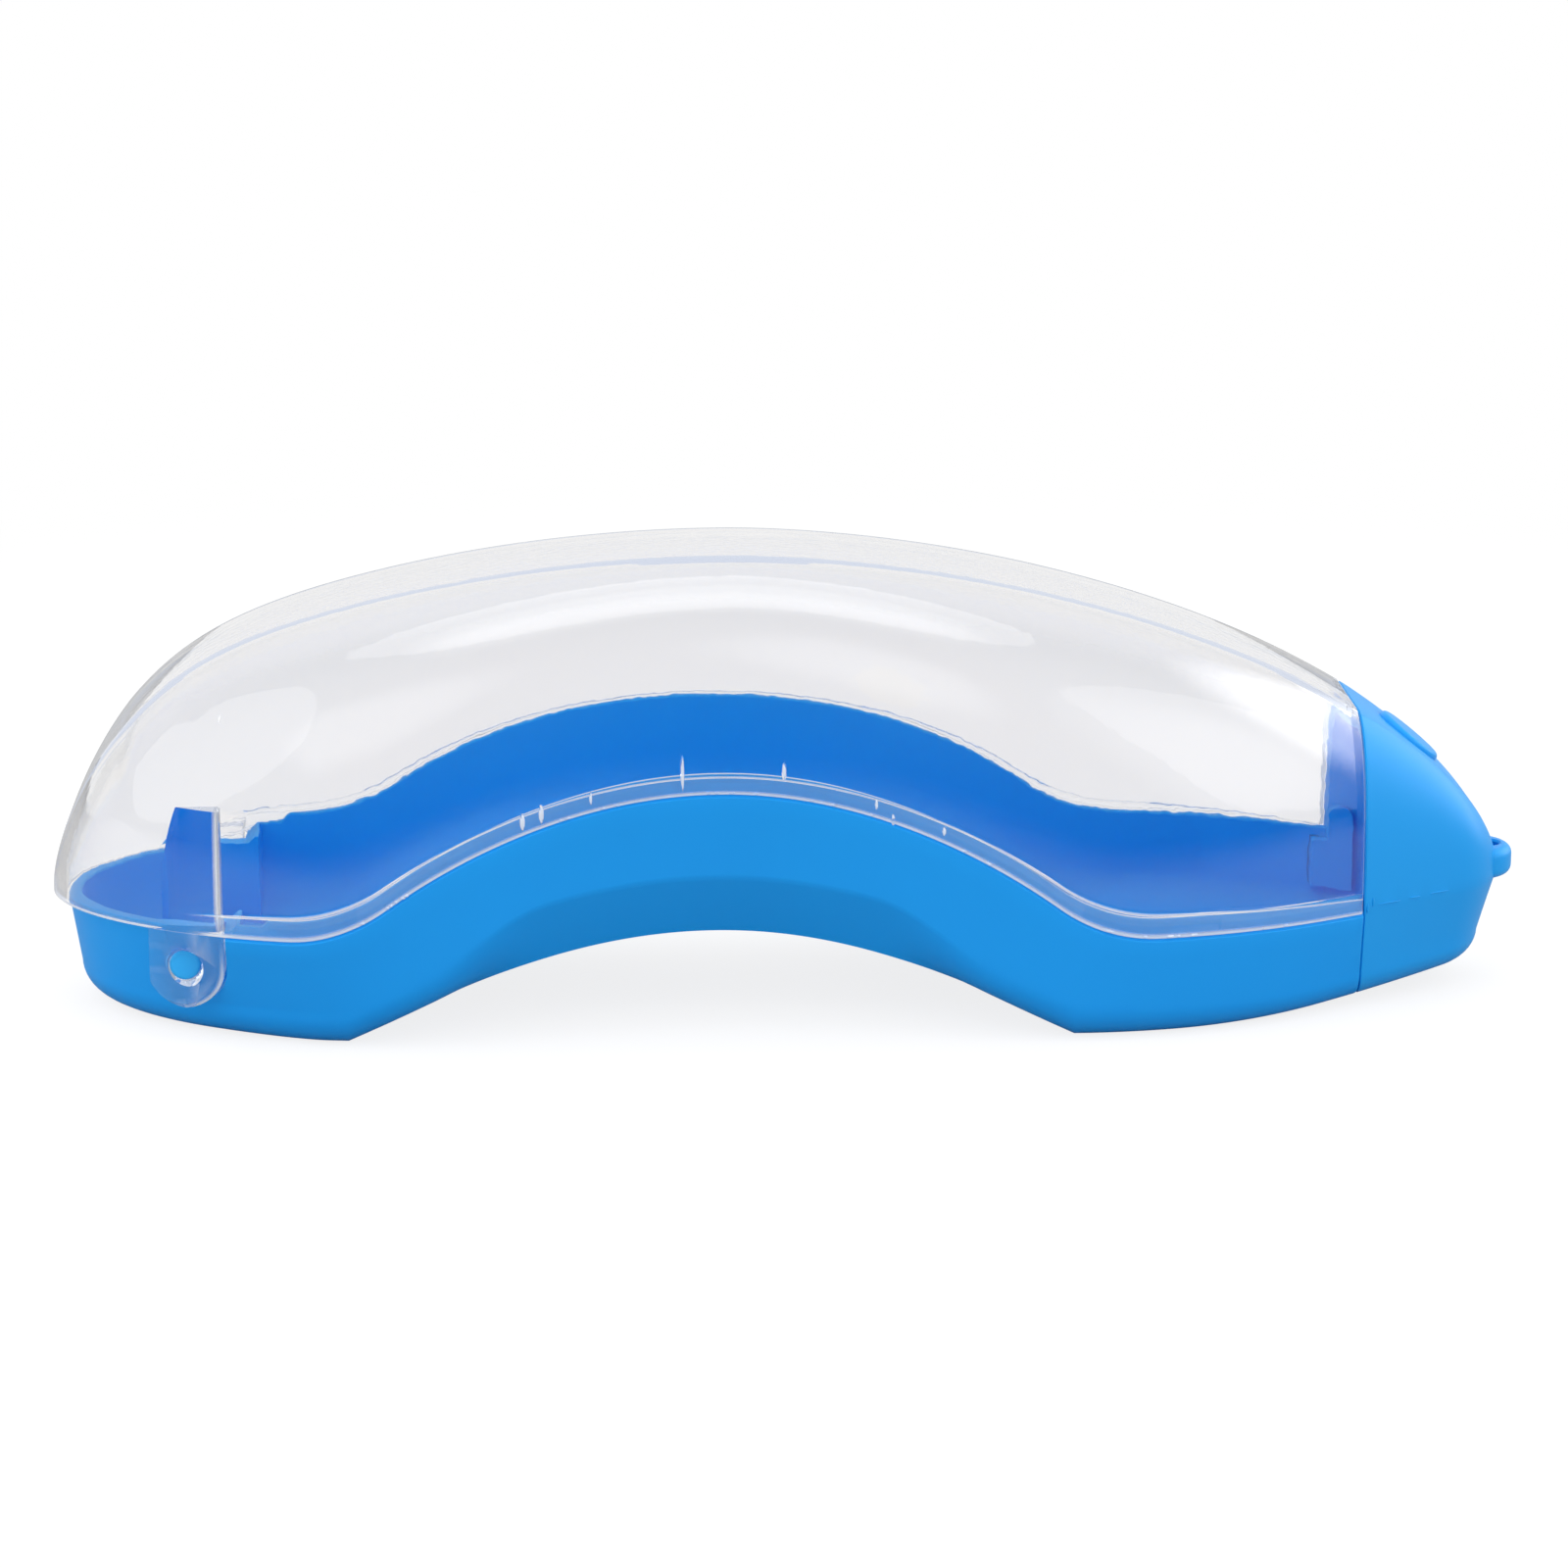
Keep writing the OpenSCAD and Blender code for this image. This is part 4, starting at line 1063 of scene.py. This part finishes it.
def make_world():
    """White for the camera. Glossy surfaces see white behind, and a dim room with soft boxes in front."""
    world = bpy.data.worlds.new("studio")
    bpy.context.scene.world = world
    world.use_nodes = True
    tree = world.node_tree
    backdrop = tree.nodes["Background"]
    path = node(tree, "ShaderNodeLightPath")
    heading = node(tree, "ShaderNodeTexCoord").outputs["Generated"]
    parts = node(tree, "ShaderNodeSeparateXYZ", Vector=heading)
    behind = node(tree, "ShaderNodeMapRange", {"interpolation_type": "SMOOTHSTEP"},
                  Value=parts.outputs["Y"], From_Min=-0.1, From_Max=0.6, To_Min=ROOM_LEVEL, To_Max=0.9)
    mirrored = behind.outputs[0]
    for azimuth, height, spread, level in SOFT_BOXES:
        turn, up = math.radians(azimuth), math.radians(height)
        ahead = (math.sin(turn) * math.cos(up), -math.cos(turn) * math.cos(up), math.sin(up))
        near = node(tree, "ShaderNodeVectorMath", {"operation": "DOT_PRODUCT"}, _0=heading, _1=ahead)
        glow = node(tree, "ShaderNodeMapRange", {"interpolation_type": "SMOOTHSTEP"},
                    Value=near.outputs["Value"], From_Min=math.cos(math.radians(spread)),
                    From_Max=math.cos(math.radians(spread * BOX_CORE)), To_Min=0.0, To_Max=level)
        brighter = node(tree, "ShaderNodeMath", {"operation": "MAXIMUM"}, _0=mirrored, _1=glow.outputs[0])
        mirrored = brighter.outputs[0]
    lit = node(tree, "ShaderNodeMix", {"data_type": "FLOAT"}, Factor=path.outputs["Is Glossy Ray"],
               A=ROOM_LIGHT)
    tree.links.new(mirrored, lit.inputs["B"])
    level = node(tree, "ShaderNodeMix", {"data_type": "FLOAT"}, Factor=see_through(tree, path), B=1.0)
    tree.links.new(lit.outputs[0], level.inputs["A"])
    tree.links.new(level.outputs[0], backdrop.inputs["Strength"])
    backdrop.inputs["Color"].default_value = (1, 1, 1, 1)


def make_lamp(name, place, size, power):
    data = bpy.data.lights.new(name, "AREA")
    data.shape = "ELLIPSE"
    data.size = data.size_y = size
    data.energy = power
    lamp = bpy.data.objects.new(name, data)
    lamp.location = place
    lamp.rotation_mode = "QUATERNION"
    lamp.rotation_quaternion = (Vector(LAMP_TARGET) - Vector(place)).to_track_quat("-Z", "Y")
    # Reflections show the world's soft boxes instead of the lamps' hard edges
    lamp.visible_glossy = False
    bpy.context.scene.collection.objects.link(lamp)


def make_camera():
    """The photograph's view: 650 mm away, 15 degrees above the table, turned 2.75 degrees to the left."""
    distance, rise, turn = 0.65, math.radians(15), math.radians(-2.75)
    target = Vector((-0.0005, 0, 0.0286))
    ahead = Vector((-math.sin(turn) * math.cos(rise), math.cos(turn) * math.cos(rise), -math.sin(rise)))
    data = bpy.data.cameras.new("camera")
    data.sensor_width = 36
    data.lens = 108.2
    camera = bpy.data.objects.new("camera", data)
    camera.location = target - ahead * distance
    camera.rotation_mode = "QUATERNION"
    camera.rotation_quaternion = ahead.to_track_quat("-Z", "Y")
    bpy.context.scene.collection.objects.link(camera)
    bpy.context.scene.camera = camera


make_camera()
bpy.context.scene.view_settings.view_transform = "Standard"
make_world()
make_floor()
for lamp_name, (lamp_place, diameter, power) in LAMPS.items():
    make_lamp(lamp_name, lamp_place, diameter, power)

tray_material = blue_polypropylene("moulded_blue_polypropylene", "#0b9cf0", "#0a95e8", 0.42)
nose_material = blue_polypropylene("moulded_blue_polypropylene_nose", "#18a0f0", "#1499e8", 0.38)
# The pins get a lighter copy of the blue, which paints a highlight on their ends
pin_material_painted_highlight = blue_polypropylene("blue_polypropylene_pins_painted_highlight", "#33b4ff", "#2caef8", 0.38)
lid_material = clear_polystyrene("moulded_clear_polystyrene")
make_tray(tray_material)
make_nose(nose_material)
make_lid(lid_material)
make_pin("hinge_pin_front_round", -1, pin_material_painted_highlight, "hinge_pin_front")
make_pin("hinge_pin_rear_round", 1, pin_material_painted_highlight, "hinge_pin_rear")
